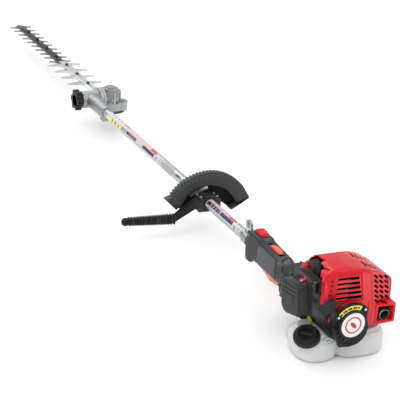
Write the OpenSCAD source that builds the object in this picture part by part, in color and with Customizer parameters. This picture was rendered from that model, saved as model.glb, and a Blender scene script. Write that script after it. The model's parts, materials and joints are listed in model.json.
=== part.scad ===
// Pole hedge trimmer: engine, pole with two handles, and a swinging blade head.
// +Y runs along the pole towards the blade, +X is the right-hand side, z = 0 is the tank's base.

/* [Pole] */
// Height of the crankshaft and pole axis above the tank's base
axis_z = 88; // [86:1:90]
// Outer diameter of the drive tube
tube_d = 25.4; // [25:0.1:26]
// Wall of the drive tube
tube_wall = 1.7; // [1.2:0.1:2]
// Diameter of the drive shaft
shaft_d = 8; // [7:0.5:8.5]
// Distance from the cylinder's axis to the swing axis of the head
swing_y = 1370; // [1300:5:1500]
// Place of the loop handle along the pole
loop_y = 600; // [560:5:640]

/* [Engine] */
// Cylinder bore
bore_d = 34; // [32:0.5:35]
// Stroke of the piston
stroke = 30; // [26:1:30]
// Radius of the clutch housing
clutch_r = 52; // [50:1:53]
// Height of the tank's two lobes
tank_h = 60; // [56:1:62]

/* [Blades] */
// Number of wide tooth pairs next to the head
wide_teeth = 4; // [3:1:4]
// Distance between wide teeth
wide_pitch = 61; // [58:1:62]
// Half of the width over the wide teeth
wide_half = 54; // [46:1:56]
// Number of short tooth pairs towards the tip
short_teeth = 10; // [8:1:10]
// Distance between short teeth
short_pitch = 43; // [40:1:44]
// Half of the width over the short teeth
short_half = 36; // [30:1:38]
// Travel of each blade
blade_stroke = 10; // [8:1:10]

/* [Hidden] */
$fn = 48;
eps = 0.01;
run_gap = 0.05;      // radial clearance of a running fit
tube_r = tube_d / 2;
tube_in_r = tube_r - tube_wall;
shaft_r = shaft_d / 2;
tube_y0 = 140;
tube_y1 = 1318;

// Axis of the blade crank, and the heights of the two blades under the swing axis
crank_x = 58;
blade_t = 2.4;
blade_gap = 0.1;
upper_z = 68.1;
lower_z = upper_z - blade_t - blade_gap;
core_half = 10;
blade_y0 = swing_y + 45;
wide_y0 = swing_y + 200;
short_y0 = wide_y0 + (wide_teeth - 1) * wide_pitch + 36;
tip_y = short_y0 + (short_teeth - 1) * short_pitch + 24;
wide_end_y = wide_y0 + (wide_teeth - 1) * wide_pitch + 16;
bolt_ys = [for (i = [0:7]) blade_y0 + 40 + i * 92];
slot_half_w = 3.4;
ecc_r = 8;
ecc_off = blade_stroke / 2;

// A solid cylinder along +Y, from y0 to y1
module along_y(y0, y1, r, x = 0, z = axis_z) {
    translate([x, y0, z])
        rotate([-90, 0, 0])
            cylinder(h = y1 - y0, r = r);
}

// A solid cylinder along +X, from x0 to x1
module along_x(x0, x1, r, y = swing_y, z = axis_z) {
    translate([x0, y, z])
        rotate([0, 90, 0])
            cylinder(h = x1 - x0, r = r);
}

// A solid cylinder along +Z, from z0 to z1
module along_z(z0, z1, r, x, y) {
    translate([x, y, z0])
        cylinder(h = z1 - z0, r = r);
}

// A turned solid on the pole axis, from points [radius, y]
module turned_y(points) {
    translate([0, 0, axis_z])
        rotate([-90, 0, 0])
            rotate_extrude()
                polygon(points);
}

// A profile drawn in the Y-Z plane, extruded from x0 to x1
module side_plate(x0, x1) {
    translate([x0, 0, 0])
        rotate([90, 0, 90])
            linear_extrude(height = x1 - x0)
                children();
}

// A profile drawn in the X-Z plane, extruded from y0 to y1
module front_plate(y0, y1) {
    translate([0, y1, 0])
        rotate([90, 0, 0])
            linear_extrude(height = y1 - y0)
                children();
}

// A box from one corner to the opposite one
module block(p0, p1) {
    translate(p0)
        cube(p1 - p0);
}

// A rectangle with round corners, from one corner to the opposite one
module round_rect(p0, p1, r) {
    union() {
        translate([p0[0] + r, p0[1]])
            square([p1[0] - p0[0] - 2 * r, p1[1] - p0[1]]);
        translate([p0[0], p0[1] + r])
            square([p1[0] - p0[0], p1[1] - p0[1] - 2 * r]);
        for (x = [p0[0] + r, p1[0] - r])
            for (y = [p0[1] + r, p1[1] - r])
                translate([x, y])
                    circle(r);
    }
}

// Points of an ellipse arc from angle a to angle b
function arc(cx, cy, rx, ry, a, b, n = 24) =
    [for (i = [0:n]) let (t = a + (b - a) * i / n) [cx + rx * cos(t), cy + ry * sin(t)]];

// A round cord swept along points
function unit(v) = v / norm(v);
function tangent(p, i) =
    unit(p[min(i + 1, len(p) - 1)] - p[max(i - 1, 0)]);
function side_of(t) = unit(cross(t, abs(t[2]) < 0.9 ? [0, 0, 1] : [1, 0, 0]));
module cord(p, r, sides = 10) {
    n = len(p);
    rings = [for (i = [0:n - 1])
        let (t = tangent(p, i), u = side_of(t), v = cross(t, u))
        for (k = [0:sides - 1])
            p[i] + r * (cos(360 * k / sides) * u + sin(360 * k / sides) * v)];
    walls = [for (i = [0:n - 2])
        for (k = [0:sides - 1])
            let (k2 = (k + 1) % sides)
            [i * sides + k, (i + 1) * sides + k, (i + 1) * sides + k2, i * sides + k2]];
    ends = [[for (k = [0:sides - 1]) k],
        [for (k = [0:sides - 1]) n * sides - 1 - k]];
    polyhedron(points = rings, faces = concat(walls, ends), convexity = 4);
}

// A bevel gear about +Z with its apex at the origin: pitch radius r at height h
module bevel_gear(teeth, r, h, phase = 0, tooth_w = 1.5, tooth_h = 2.6) {
    shrink = 0.65;
    root = 1.9;
    slant = atan2(r, h);
    length = norm([r, h]) * (1 - shrink);
    translate([0, 0, h * shrink])
        cylinder(h = h * (1 - shrink), r1 = r * shrink - root, r2 = r - root);
    for (i = [0:teeth - 1])
        rotate([0, 0, phase + i * 360 / teeth])
            translate([r * shrink, 0, h * shrink])
                rotate([0, slant, 0])
                    translate([-root - 0.4, -tooth_w / 2, 0])
                        cube([tooth_h + 0.4, tooth_w, length]);
}

/* ---- fuel system ---- */

cap_tilt = 28;
cap_turn = 228;
cap_seat = [-64, -38, 40];
module cap_frame() {
    translate(cap_seat)
        rotate([0, cap_tilt, cap_turn])
            children();
}

// One lobe of the tank: four slabs, set in at the foot and at the shoulder
module tank_lobe(p0, p1, corner) {
    height = p1[2] - p0[2];
    for (slab = [[5, 0, 0.12], [0, 0.1, 0.74], [5, 0.72, 0.9], [13, 0.88, 1]])
        translate([0, 0, p0[2] + slab[1] * height])
            linear_extrude(height = (slab[2] - slab[1]) * height)
                round_rect([p0[0] + slab[0], p0[1] + slab[0]], [p1[0] - slab[0], p1[1] - slab[0]],
                    corner - slab[0] * 0.8);
}

module tank_outer(wall = 0) {
    inset = [wall, wall, wall];
    tank_lobe([-83, -68, 0] + inset, [4, 32, tank_h] - inset, 36);
    tank_lobe([-8, -70, 0] + inset, [120, 44, tank_h] - inset, 38);
    tank_lobe([-60, 20, 0] + inset, [92, 72, 32] - inset, 20);
}

neck_z = 10.6;
module fuel_tank() {
    wall = 2.2;
    color("white", 0.8)
        difference() {
            union() {
                difference() {
                    tank_outer();
                    cap_frame()
                        translate([0, 0, neck_z])
                            cylinder(h = 60, r = 29);
                }
                cap_frame()
                    cylinder(h = neck_z + 9.4, r = 20);
            }
            difference() {
                tank_outer(wall);
                along_y(-100, 100, 41 + wall);
                cap_frame()
                    translate([0, 0, neck_z - wall])
                        cylinder(h = 60, r = 29 + wall);
            }
            cap_frame()
                translate([0, 0, -4])
                    cylinder(h = 30, r = 17);
            along_y(-100, 100, 41);
        }
}

module fuel_cap() {
    color("dimgray")
        cap_frame()
            translate([0, 0, 11.2])
                difference() {
                    union() {
                        rotate_extrude()
                            polygon([[0, 0], [26.5, 0], [26.5, 10.4], [24, 16], [0, 16]]);
                        for (i = [0:17])
                            rotate([0, 0, i * 20])
                                translate([25.5, -1.8, 1])
                                    cube([2.3, 3.6, 8]);
                    }
                    translate([0, 0, -1])
                        cylinder(h = 10.2, r = 20.4);
                }
}

fuel_route = [[-48, -20, 60.1], [-48, -20, 65], [-49, -21.5, 73], [-52.5, -21, 81],
    [-56, -16, 88], [-57, -11, 93], [-57, -9, 97], [-57, -9, 100.9]];
module fuel_line() {
    color("yellowgreen")
        cord(fuel_route, 3);
}

/* ---- crankcase and crank train ---- */

case_r = 36;
deck_z = 122;
module crankcase_front() {
    color("silver")
        difference() {
            union() {
                along_y(0, 46, case_r);
                block([-30, 0, 96], [30, 30, 122]);
            }
            block([-40, -60, deck_z], [40, 60, 140]);
            along_y(-1, 23, 27);
            along_y(22, 36, 16);
            along_y(35, 47, 9);
            along_z(90, 123, 18.5, 0, 0);
        }
}

module crankcase_rear() {
    color("silver")
        difference() {
            union() {
                along_y(-50, 0, case_r);
                block([-30, -30, 96], [30, 0, 122]);
            }
            block([-40, -60, deck_z], [40, 60, 140]);
            along_y(-23, 1, 27);
            along_y(-36, -22, 16);
            along_y(-51, -35, 9);
            along_z(90, 123, 18.5, 0, 0);
        }
}

module crank_bearings() {
    color("gainsboro")
        for (y = [24, -36])
            difference() {
                along_y(y, y + 12, 16);
                along_y(y - 1, y + 13, 7.5);
            }
}

module crankshaft() {
    throw = stroke / 2;
    color("gray") {
        union() {
            along_y(-84, -7, 7.5 - run_gap);
            along_y(7, 96, 7.5 - run_gap);
            along_y(-20, -7, 24);
            along_y(7, 20, 24);
            along_y(-7 - eps, 7 + eps, 6, 0, axis_z + throw);
            along_y(-84, -76, 18);
        }
    }
}

module flywheel() {
    color("darkgray")
        difference() {
            union() {
                along_y(58, 66, 35);
                along_y(54, 88, 14);
                for (i = [0:15])
                    translate([0, 0, axis_z])
                        rotate([0, i * 22.5, 0])
                            block([20, 65, -1.2], [34.5, 78, 1.2]);
            }
            along_y(50, 100, 7.5 - run_gap);
        }
}

module clutch_shoes() {
    color("dimgray")
        difference() {
            union() {
                difference() {
                    along_y(98, 114, clutch_r - 16);
                    along_y(97, 115, clutch_r - 28);
                    for (a = [0, 120, 240])
                        translate([0, 0, axis_z])
                            rotate([0, a, 0])
                                block([10, 96, -2.5], [50, 117, 2.5]);
                }
                along_y(88.2, 114, 14);
                for (a = [60, 180, 300])
                    translate([0, 0, axis_z])
                        rotate([0, a, 0])
                            block([10, 102, -5], [clutch_r - 26, 110, 5]);
            }
            along_y(80, 97, 7.5 - run_gap);
        }
}

module fan_housing() {
    color("silver")
        difference() {
            union() {
                along_y(46, 90, 54);
                block([-26, 36, 128], [26, 66, 170]);
            }
            along_y(52, 91, 47);
            along_y(45, 53, 16);
            for (a = [30, 60, 120, 150, 210, 330])
                translate([0, 0, axis_z])
                    rotate([0, -a, 0])
                        block([22, 45, -4], [40, 53, 4]);
            along_x(-27, -8, 3, knob_yz[0], knob_yz[1]);
        }
}

knob_yz = [41, 164];
plug_yz = [-4, 186];

module engine_cylinder() {
    fin_x = 31;
    fin_y = 34;
    port_z = 150;
    color("silver")
        difference() {
            union() {
                along_z(113, 122, 18.5, 0, 0);
                along_z(122, 192, 23, 0, 0);
                translate([0, 0, 122])
                    linear_extrude(height = 4)
                        round_rect([-29, -29], [29, 29], 5);
                for (z = [130:6:188])
                    translate([0, 0, z])
                        linear_extrude(height = 2)
                            round_rect([-fin_x, -fin_y], [fin_x, fin_y], 6);
                block([-38, -18, port_z - 12], [-18, 18, port_z + 12]);
                block([18, -18, port_z - 12], [38, 18, port_z + 12]);
            }
            along_z(107, 176, bore_d / 2, 0, 0);
            along_z(175, 186, 12, 0, 0);
            along_x(-39, -15, 8, 0, port_z);
            along_x(15, 39, 9, 0, port_z);
            along_x(-40, -24, 12, plug_yz[0], plug_yz[1]);
            along_x(-25, -5, 5, plug_yz[0], plug_yz[1]);
        }
}

module piston() {
    piston_r = bore_d / 2 - run_gap;
    color("lightgray")
        difference() {
            along_z(145, 174, piston_r, 0, 0);
            along_z(144, 169, piston_r - 3, 0, 0);
            for (z = [165, 170])
                difference() {
                    along_z(z, z + 1.5, piston_r + 1, 0, 0);
                    along_z(z - 1, z + 3, piston_r - 1, 0, 0);
                }
        }
    color("gray")
        along_x(3 - piston_r, piston_r - 3, 4, 0, 158);
}

module spark_plug() {
    color("white") {
        along_x(-24, -8, 5, plug_yz[0], plug_yz[1]);
        translate([0, plug_yz[0], plug_yz[1]])
            rotate([0, -90, 0])
                translate([0, 0, 24])
                    cylinder(h = 6, r = 9, $fn = 6);
        along_x(-36, -30, 4, plug_yz[0], plug_yz[1]);
    }
}

module plug_cap() {
    color("dimgray")
        difference() {
            union() {
                along_x(-44, -30.2, 11, plug_yz[0], plug_yz[1]);
                along_x(-44, -38, 18.5, plug_yz[0], plug_yz[1]);
                along_x(-45.5, -44, 4, plug_yz[0], plug_yz[1]);
                block([-42, 0, plug_yz[1] - 4], [-36, 26, plug_yz[1] + 4]);
            }
            along_x(-36, -29, 4, plug_yz[0], plug_yz[1]);
        }
}

module ignition_coil() {
    color("dimgray")
        union() {
            block([-14, 60, 124.5], [14, 74, 132.4]);
        }
}

/* ---- intake side ---- */

module intake_insulator() {
    color("dimgray")
        difference() {
            block([-46, -18, 138], [-38, 18, 162]);
            along_x(-47, -37, 8, 0, 150);
        }
}

throttle_pivot = [-57, 0];
module carburetor() {
    color("silver")
        difference() {
            union() {
                block([-69, -18, 134], [-46, 18, 166]);
                block([-66, -14, 118], [-49, 14, 134]);
                along_z(101, 119, 4.5, -57, -9);
            }
            along_x(-70, -45, 8, 0, 150);
            along_z(157, 167, 2.5 + run_gap, throttle_pivot[0], throttle_pivot[1]);
            block([-62, -19, 140], [-52, -14, 150]);
            along_y(-14.5, -9.5, 7.4, -57.5, 126);
        }
}

module throttle_arm() {
    color("gainsboro")
        union() {
            along_z(158, 169, 2.5, throttle_pivot[0], throttle_pivot[1]);
            translate([throttle_pivot[0], throttle_pivot[1], 166.4])
                linear_extrude(height = 2.2)
                    union() {
                        circle(5.5);
                        translate([-3, 0])
                            square([6, 14]);
                    }
        }
}

module primer_bulb() {
    color("black")
        translate([-57.5, -14.3, 126])
            rotate([90, 0, 0])
                union() {
                    cylinder(h = 3, r = 7);
                    translate([0, 0, 3])
                        cylinder(h = 4, r1 = 6, r2 = 3);
                }
}

// The air cleaner's own frame, in which its box stands upright
box_tilt = -14;
module box_frame() {
    translate([0, -10, 132])
        rotate([box_tilt, 0, 0])
            children();
}

module air_cleaner_base() {
    color("dimgray")
        difference() {
            union() {
                box_frame()
                    block([-74, -39, -33], [-69.2, 32, 32]);
                block([-74, -42, 150], [-69.2, 28, 175]);
                block([-70, -20, 171], [-46, 28, 175]);
                block([-70, -42, 171], [-46, -20, 175]);
            }
            along_x(-75, -68, 8, 0, 150);
            for (y = [-37:9:22])
                block([-66, y, 170], [-50, y + 4, 176]);
        }
}

module air_filter() {
    color("khaki")
        box_frame()
            block([-90, -31, -28], [-74.2, 26, 20]);
}

// A slab of the air cleaner's box, from x0 to x1, drawn in by an inset
module box_slab(x0, x1, inset) {
    box_frame()
        side_plate(x0, x1)
            round_rect([-43 + inset, -37 + inset], [36 - inset, 36 - inset], 13 - inset * 0.6);
}

module air_cleaner_cover() {
    color("dimgray")
        difference() {
            union() {
                box_slab(-102, -97, 5);
                box_slab(-98.5, -74, 0);
            }
            box_slab(-99.4, -94, 7.6);
            box_slab(-95.9, -73, 2.6);
            box_frame()
                along_z(30, 40, 2.5 + run_gap, choke_pin[0], choke_pin[1]);
        }
}

choke_pin = [-84, -26];
module choke_lever() {
    color("red")
        box_frame()
            union() {
                along_z(29, 38, 2.5, choke_pin[0], choke_pin[1]);
                translate([choke_pin[0], choke_pin[1], 36.4])
                    linear_extrude(height = 3)
                        union() {
                            circle(6);
                            translate([0, -3.5])
                                square([8.5, 7]);
                        }
                translate([choke_pin[0] + 5.5, choke_pin[1] - 3, 38])
                    cube([3, 6, 5]);
            }
}

/* ---- exhaust side and engine cover ---- */

module muffler() {
    color("gray")
        difference() {
            union() {
                front_plate(-36, 34)
                    round_rect([44, 92], [98, 164], 8);
                block([38, -18, 138], [46, 18, 162]);
                along_y(-66, -34, 12, 96, 92);
            }
            front_plate(-34, 32)
                round_rect([46, 94], [96, 162], 7);
            along_x(37, 48, 9, 0, 150);
            along_y(-67, -33, 10, 96, 92);
        }
}

cover_wall = 2.6;
module cover_front_outline(w) {
    polygon(concat(
        [[-60 + w, w > 0 ? 40 : 80], [-60 + w, 190]],
        arc(-42, 190, 18 - w, 17 - w, 170, 110, 6),
        arc(-12, 20, 190 - w, 190 - w, 98, 54, 16),
        arc(97, 150, 23 - w, 23 - w, 75, 0, 8),
        [[120 - w, w > 0 ? 40 : 80]]));
}
module cover_side_outline(w) {
    polygon(concat(
        [[-75 + w, 30], [-75 + w, 196]],
        arc(-57, 196, 18 - w, 15 - w, 180, 95, 8),
        arc(-10, 150, 62 - w, 62 - w, 90, 0, 14),
        [[52 - w, 30]]));
}
module cover_body(w) {
    intersection() {
        front_plate(-80, 60)
            cover_front_outline(w);
        side_plate(-80, 130)
            cover_side_outline(w);
    }
}

module engine_cover() {
    color("red")
        difference() {
            union() {
                difference() {
                    cover_body(0);
                    cover_body(cover_wall);
                }
                difference() {
                    block([72, -71, 74], [120, -50, 119]);
                    block([76, -72, 79], [115, -47, 115]);
                }
                block([-29.6, 35, 154], [-26.4, 51, 175]);
            }
            block([-80, -64, 60], [-43, 70, 230]);
            block([-43.1, -64, 60], [-33, 70, 178]);
            block([-43.1, -24, 177], [-33, 70, 230]);
            block([-33.1, -64, 60], [-29.6, 34, 178]);
            block([-33.1, -24, 177], [-29.6, 34, 200]);
            block([-80, -80, 60], [-40, -50, 134]);
            along_y(-90, -45, 41);
            along_y(38, 70, 56);
            block([-26.2, 35, 120], [26.2, 70, 171]);
            block([76, -81, 79], [115, -47, 115]);
            along_x(-40, -20, 3.6, knob_yz[0], knob_yz[1]);
            for (i = [0:4])
                block([-30, -80, 143 + i * 10.5], [26, -70, 149.5 + i * 10.5]);
            for (i = [0:3])
                translate([0, 0, 128 + i * 12])
                    rotate([0, 12, 0])
                        block([66, -80, 0], [98, -66, 5]);
            for (i = [0:4])
                block([114, -46 + i * 18, 108], [126, -37 + i * 18, 146]);
            for (i = [0:3])
                block([46 + i * 11, -52, 168], [51 + i * 11, -24, 235]);
            block([38, -40, 60], [116, 40, 90]);
        }
}

module cover_knob() {
    color("red")
        union() {
            along_x(-44.4, -33.4, 10, knob_yz[0], knob_yz[1]);
            for (a = [0:60:300])
                along_x(-44.4, -33.4, 3.6, knob_yz[0] + 9 * cos(a), knob_yz[1] + 9 * sin(a));
            along_x(-34, -29.8, 6, knob_yz[0], knob_yz[1]);
            along_x(-30, -10, 3 - run_gap, knob_yz[0], knob_yz[1]);
        }
}

// Screw heads: two on the starter case and four on the clutch housing
module engine_screws() {
    color("silver") {
        for (a = [50, 150])
            along_y(-105.5, -103, 3, disc_x + 40 * cos(a), disc_z + 40 * sin(a));
        for (a = [45, 135, 225, 315])
            along_y(100, 103, 3.5, clutch_r * cos(a), axis_z + clutch_r * sin(a));
    }
}

/* ---- recoil starter ---- */

disc_x = -3;         // centre of the round front plate
disc_z = 102;
reel_r = 14;
grip_z = 63.5;       // distance of the grip from the reel's axis, along the rope
rope_x = -reel_r - 2;
grip_angle = -35;
module starter_frame() {
    translate([0, -92, axis_z])
        rotate([0, grip_angle, 0])
            children();
}

module starter_case() {
    color("dimgray")
        difference() {
            union() {
                along_y(-100, -72, 37);
                along_y(-73, -50, 39);
                along_y(-106, -99, 31, disc_x, disc_z);
                front_plate(-103, -97)
                    polygon(concat(arc(disc_x, disc_z, 46, 46, 42, 156), [[-22, 92], [22, 92]]));
                front_plate(-100, -92)
                    polygon([[-44, 96], [-26, 52], [2, 50], [10, 66], [20, 90]]);
                starter_frame()
                    block([rope_x - 8, -7, 20], [rope_x + 8, 7, grip_z - 0.4]);
            }
            along_y(-97, -75, 34);
            along_y(-101, -91, 4, -13, 64);
            starter_frame()
                translate([rope_x, 0, 0])
                    cylinder(h = 70, r = 2.4);
            along_y(-76, -49, 30);
        }
    color("dimgray")
        along_y(-97, -84.5, 5 - run_gap);
}

module starter_reel() {
    color("white")
        difference() {
            union() {
                along_y(-96, -94.2, 31);
                along_y(-89.8, -88, 31);
                along_y(-95, -89, reel_r - 0.6);
            }
            along_y(-99, -80, 5);
        }
}

module starter_rope() {
    color("whitesmoke")
        starter_frame()
            translate([rope_x, 0, -20])
                cylinder(h = grip_z + 23.6, r = 1.6);
}

module starter_grip() {
    color("black")
        starter_frame()
            translate([rope_x, 0, grip_z])
                difference() {
                    union() {
                        cylinder(h = 8, r = 7);
                        translate([-20, -8, 7])
                            cube([40, 16, 15]);
                    }
                    translate([0, 0, -1])
                        cylinder(h = 4.6, r = 1.6);
                }
}

/* ---- clutch and drive line ---- */

module clutch_housing() {
    color("dimgray")
        difference() {
            union() {
                turned_y([[0, 90], [clutch_r, 90], [clutch_r, 97], [clutch_r - 4, 99],
                    [clutch_r - 4, 126], [clutch_r - 10, 138], [26, 150], [19, 156], [19, 175],
                    [0, 175]]);
                for (a = [0:30:330])
                    translate([0, 0, axis_z])
                        rotate([0, a, 0])
                            block([30, 100, -1.5], [clutch_r - 2, 128, 1.5]);
                block([-16, 150, axis_z + 8], [16, 172, axis_z + 24]);
                for (a = [45:90:315])
                    along_y(90, 100, 6, clutch_r * cos(a), axis_z + clutch_r * sin(a));
            }
            along_y(89, 123, clutch_r - 8);
            along_y(122, 140, 14);
            along_y(139, 176, tube_r);
        }
}

module drum_bearing() {
    color("gainsboro")
        difference() {
            along_y(126, 138, 14);
            along_y(125, 139, 7);
        }
}

module clutch_drum() {
    color("gray")
        difference() {
            union() {
                along_y(96, 121, clutch_r - 11);
                along_y(120, 138.5, 7 - run_gap);
            }
            along_y(95, 118, clutch_r - 14);
            along_y(119, 140, shaft_r);
        }
}

module drive_shaft() {
    color("lightgray")
        union() {
            along_y(119, swing_y - 9, shaft_r);
            along_y(swing_y - 29, swing_y - 14, 8);
            translate([0, swing_y, axis_z])
                rotate([90, 0, 0])
                    bevel_gear(12, 14, 14, 0);
        }
}

module drive_tube() {
    color("gainsboro")
        difference() {
            along_y(tube_y0, tube_y1, tube_r);
            along_y(tube_y0 - 1, tube_y1 + 1, tube_in_r);
        }
}

module tube_bushes() {
    color("peru")
        for (y = [200:250:1200])
            difference() {
                along_y(y, y + 30, tube_in_r);
                along_y(y - 1, y + 31, shaft_r + run_gap);
            }
}

/* ---- throttle handle ---- */

trigger_pin = [316, 66];
lock_pin = [256, 107];
module handle_outline() {
    polygon(concat(
        [[176, 68], [176, 106]],
        [[186, 112], [215, 115], [250, 117], [276, 120], [282, 124], [326, 124]],
        arc(326, 112, 14, 12, 90, 0, 6),
        [[346, 84], [343, 62]],
        arc(333, 60, 10, 10, 0, -90, 6),
        [[322, 50], [318, 57], [304, 62], [240, 63], [200, 60], [184, 62]]));
}
screw_places = [[188, 69], [188, 106], [334, 60], [332, 112]];
module handle_half(x0, x1) {
    outer = max(abs(x0), abs(x1));
    mid = (x0 + x1) / 2;
    difference() {
        union() {
            side_plate(x0, x1)
                handle_outline();
        }
        along_y(170, 350, tube_r);
        block([-6.2, 198, 40], [6.2, 326, 75.2]);
        block([-6.2, 206, 100.8], [6.2, 266, 130]);
        block([-4.4, 286, 112], [4.4, 318, 130]);
        along_x(-12, 12, 2 + run_gap, trigger_pin[0], trigger_pin[1]);
        along_x(-12, 12, 2 + run_gap, lock_pin[0], lock_pin[1]);
        for (s = screw_places) {
            along_x(-25, 14, 2.2, s[0], s[1]);
            along_x(-25, -17, 4.2, s[0], s[1]);
        }
        for (x = [-22, 19])
            for (i = [0:6])
                translate([x, 204 + i * 10, 70])
                    rotate([-20, 0, 0])
                        cube([3, 3, 34]);
    }
}
module handle_left() {
    color("dimgray")
        handle_half(-20, -0.05);
}
module handle_right() {
    color("dimgray")
        handle_half(0.05, 20);
}

module handle_screws() {
    color("silver")
        for (s = screw_places)
            union() {
                along_x(-19.4, -17, 4.2, s[0], s[1]);
                along_x(-17.5, 14, 2.2, s[0], s[1]);
            }
}

module throttle_trigger() {
    color("salmon")
        union() {
            side_plate(-5.5, 5.5)
                polygon(concat(
                    [[321, 64], [321, 69], [314, 72], [300, 71], [262, 65], [236, 59], [214, 58]],
                    arc(214, 51, 9, 8, 90, 250, 6),
                    [[238, 40], [262, 46], [300, 56]]));
            along_x(-11.6, 11.6, 2, trigger_pin[0], trigger_pin[1]);
        }
}

module trigger_lockout() {
    color("orangered")
        union() {
            side_plate(-5.5, 5.5)
                polygon([[258, 102], [262, 108], [258, 118], [236, 122], [216, 121], [211, 116],
                    [236, 112], [250, 103]]);
            along_x(-11.6, 11.6, 2, lock_pin[0], lock_pin[1]);
        }
}

module stop_switch() {
    color("red")
        union() {
            block([-4, 296, 114], [4, 316, 125]);
            side_plate(-9, 9)
                polygon([[288, 124.3], [290, 131], [300, 134], [306, 131.5], [312, 134], [322, 131],
                    [325, 124.3]]);
        }
}

cable_route = [[-15, 179, 116], [-16, 170, 124], [-18, 158, 132], [-22, 144, 140],
    [-28, 128, 148], [-35, 110, 154], [-43, 92, 157], [-50, 74, 157], [-54, 56, 157],
    [-57, 40, 159], [-58, 28, 163], [-57.5, 19, 167]];
module throttle_cable() {
    color("black")
        cord(cable_route, 2.6);
}

module harness_bracket() {
    color("silver")
        difference() {
            union() {
                along_y(354, 376, tube_r + 3.2);
                block([-3, 352, 103], [3, 378, 120]);
                side_plate(-3, 3)
                    round_rect([354, 104], [378, 132], 8);
                block([-8, 358, 100], [8, 372, 112]);
            }
            along_y(350, 380, tube_r);
            along_x(-10, 10, eye_r, eye_yz[0], eye_yz[1]);
        }
}
eye_r = 5;
eye_yz = [366, 122];

/* ---- loop handle ---- */

loop_front = loop_y + 15;
loop_rear = loop_y - 15;
clamp_rear = loop_y - 30;
clamp_front = loop_y + 26;
loop_bolt_places = [for (x = [-20, 20]) for (y = [loop_y - 18, loop_y + 2]) [x, y]];
module loop_ring() {
    polygon(concat(
        arc(5, 43, 118, 117, 25, 147, 28),
        [[-111, 104], [-80, 74], [-74, 80]],
        arc(5, 43, 80, 85, 151, 29, 24),
        [[84, 79], [60, 67], [66, 62], [113, 88]]));
}
module loop_handle() {
    color("dimgray")
        difference() {
            union() {
                front_plate(loop_rear, loop_front)
                    loop_ring();
                front_plate(loop_front - 5, loop_front - 1.5)
                    polygon(concat(
                        arc(5, 43, 82, 87, 151, 29, 24),
                        [[85, 77.5], [61, 65.5], [26, 90], [-26, 86], [-78, 76]]));
                block([-26, clamp_rear + 2, 98.2], [26, loop_front - 2, 102]);
                block([-15, clamp_rear + 2, 98.2], [15, loop_front - 2, 109]);
                for (t = [30:5:145])
                    front_plate(loop_rear + 4, loop_front - 4)
                        translate([5 + 117 * cos(t), 43 + 116 * sin(t)])
                            circle(2.4);
            }
            block([-28.2, loop_y - 50, 60], [28.2, loop_y + 40, 98.2]);
            block([-12.2, loop_y - 50, 98], [12.2, loop_y + 40, 104.2]);
            for (b = loop_bolt_places)
                along_z(95, 116, 2.5, b[0], b[1]);
        }
}

module loop_clamp() {
    color("black") {
        difference() {
            union() {
                block([-28, clamp_rear, 88.4], [28, clamp_front, 98.1]);
                block([-12, clamp_rear, 98], [12, clamp_front, 104.1]);
            }
            along_y(loop_y - 50, loop_y + 50, tube_r);
            for (b = loop_bolt_places)
                along_z(80, 110, 2.5, b[0], b[1]);
        }
        difference() {
            block([-28, clamp_rear, 70], [28, clamp_front, 87.6]);
            along_y(loop_y - 50, loop_y + 50, tube_r);
            for (b = loop_bolt_places)
                along_z(60, 110, 2.5, b[0], b[1]);
        }
    }
}

module loop_bolts() {
    color("silver")
        for (b = loop_bolt_places)
            union() {
                along_z(72, 103, 2.5, b[0], b[1]);
                along_z(102, 106, 5, b[0], b[1]);
            }
}

module barrier_bar() {
    color("dimgray")
        union() {
            front_plate(clamp_rear, clamp_rear + 14)
                polygon([[-28.1, 97], [-34, 106], [-50, 96], [-82, 72], [-90, 65.5], [-210, 68.5],
                    [-210, 55.5], [-106, 48], [-93, 49], [-81, 56], [-38, 80], [-28.1, 80]]);
            for (i = [0:15])
                front_plate(clamp_rear - 1, clamp_rear + 15)
                    translate([-92 - i * 7.6, 0])
                        round_rect([0, 45.4 + i * 0.5], [3.4, 69 + i * 0.15], 1);
            translate([-214, clamp_rear + 7, 62])
                sphere(10);
        }
}

/* ---- cutting head ---- */

module angle_housing() {
    color("silver")
        difference() {
            union() {
                turned_y([[0, swing_y - 125], [16.5, swing_y - 125], [16.5, swing_y - 104],
                    [19, swing_y - 98], [21, swing_y - 14], [0, swing_y - 14]]);
                along_x(-30, 22, 24);
                along_x(20, 28, 32);
                block([-9, swing_y - 122, axis_z - 27], [9, swing_y - 98, axis_z - 10]);
            }
            along_y(swing_y - 130, tube_y1, tube_r);
            along_y(tube_y1 - 1, swing_y - 44, 11);
            along_y(swing_y - 45, swing_y - 29, 14);
            along_y(swing_y - 30, swing_y - 8, 16);
            along_x(-15, 17, 16.5);
            along_x(16, 24.5, 13);
            along_x(24, 29, 8);
            along_x(-31, -14, 5);
            along_x(-10, 10, 2.5, swing_y - 110, axis_z - 20);
            block([-1, swing_y - 126, axis_z - 30], [1, swing_y - 96, axis_z - 5]);
            for (a = [0:30:330])
                along_x(25, 28.5, 2, swing_y + 27 * cos(a), axis_z + 27 * sin(a));
        }
}

module head_bearings() {
    color("gainsboro") {
        difference() {
            along_y(swing_y - 44, swing_y - 30, 14);
            along_y(swing_y - 46, swing_y - 28, shaft_r + run_gap);
        }
        difference() {
            along_x(17.4, 24.4, 13);
            along_x(16, 26, 4.5 + run_gap);
        }
    }
}

module swing_gear() {
    color("gray")
        union() {
            translate([0, swing_y, axis_z])
                rotate([0, 90, 0])
                    bevel_gear(12, 14, 14, 15);
            along_x(13, 17, 8);
            along_x(9, crank_x - 13, 4.5);
            translate([crank_x, swing_y, axis_z])
                rotate([0, -90, 0])
                    bevel_gear(12, 10, 20, 0, 1.5, 1.7);
        }
}

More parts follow.
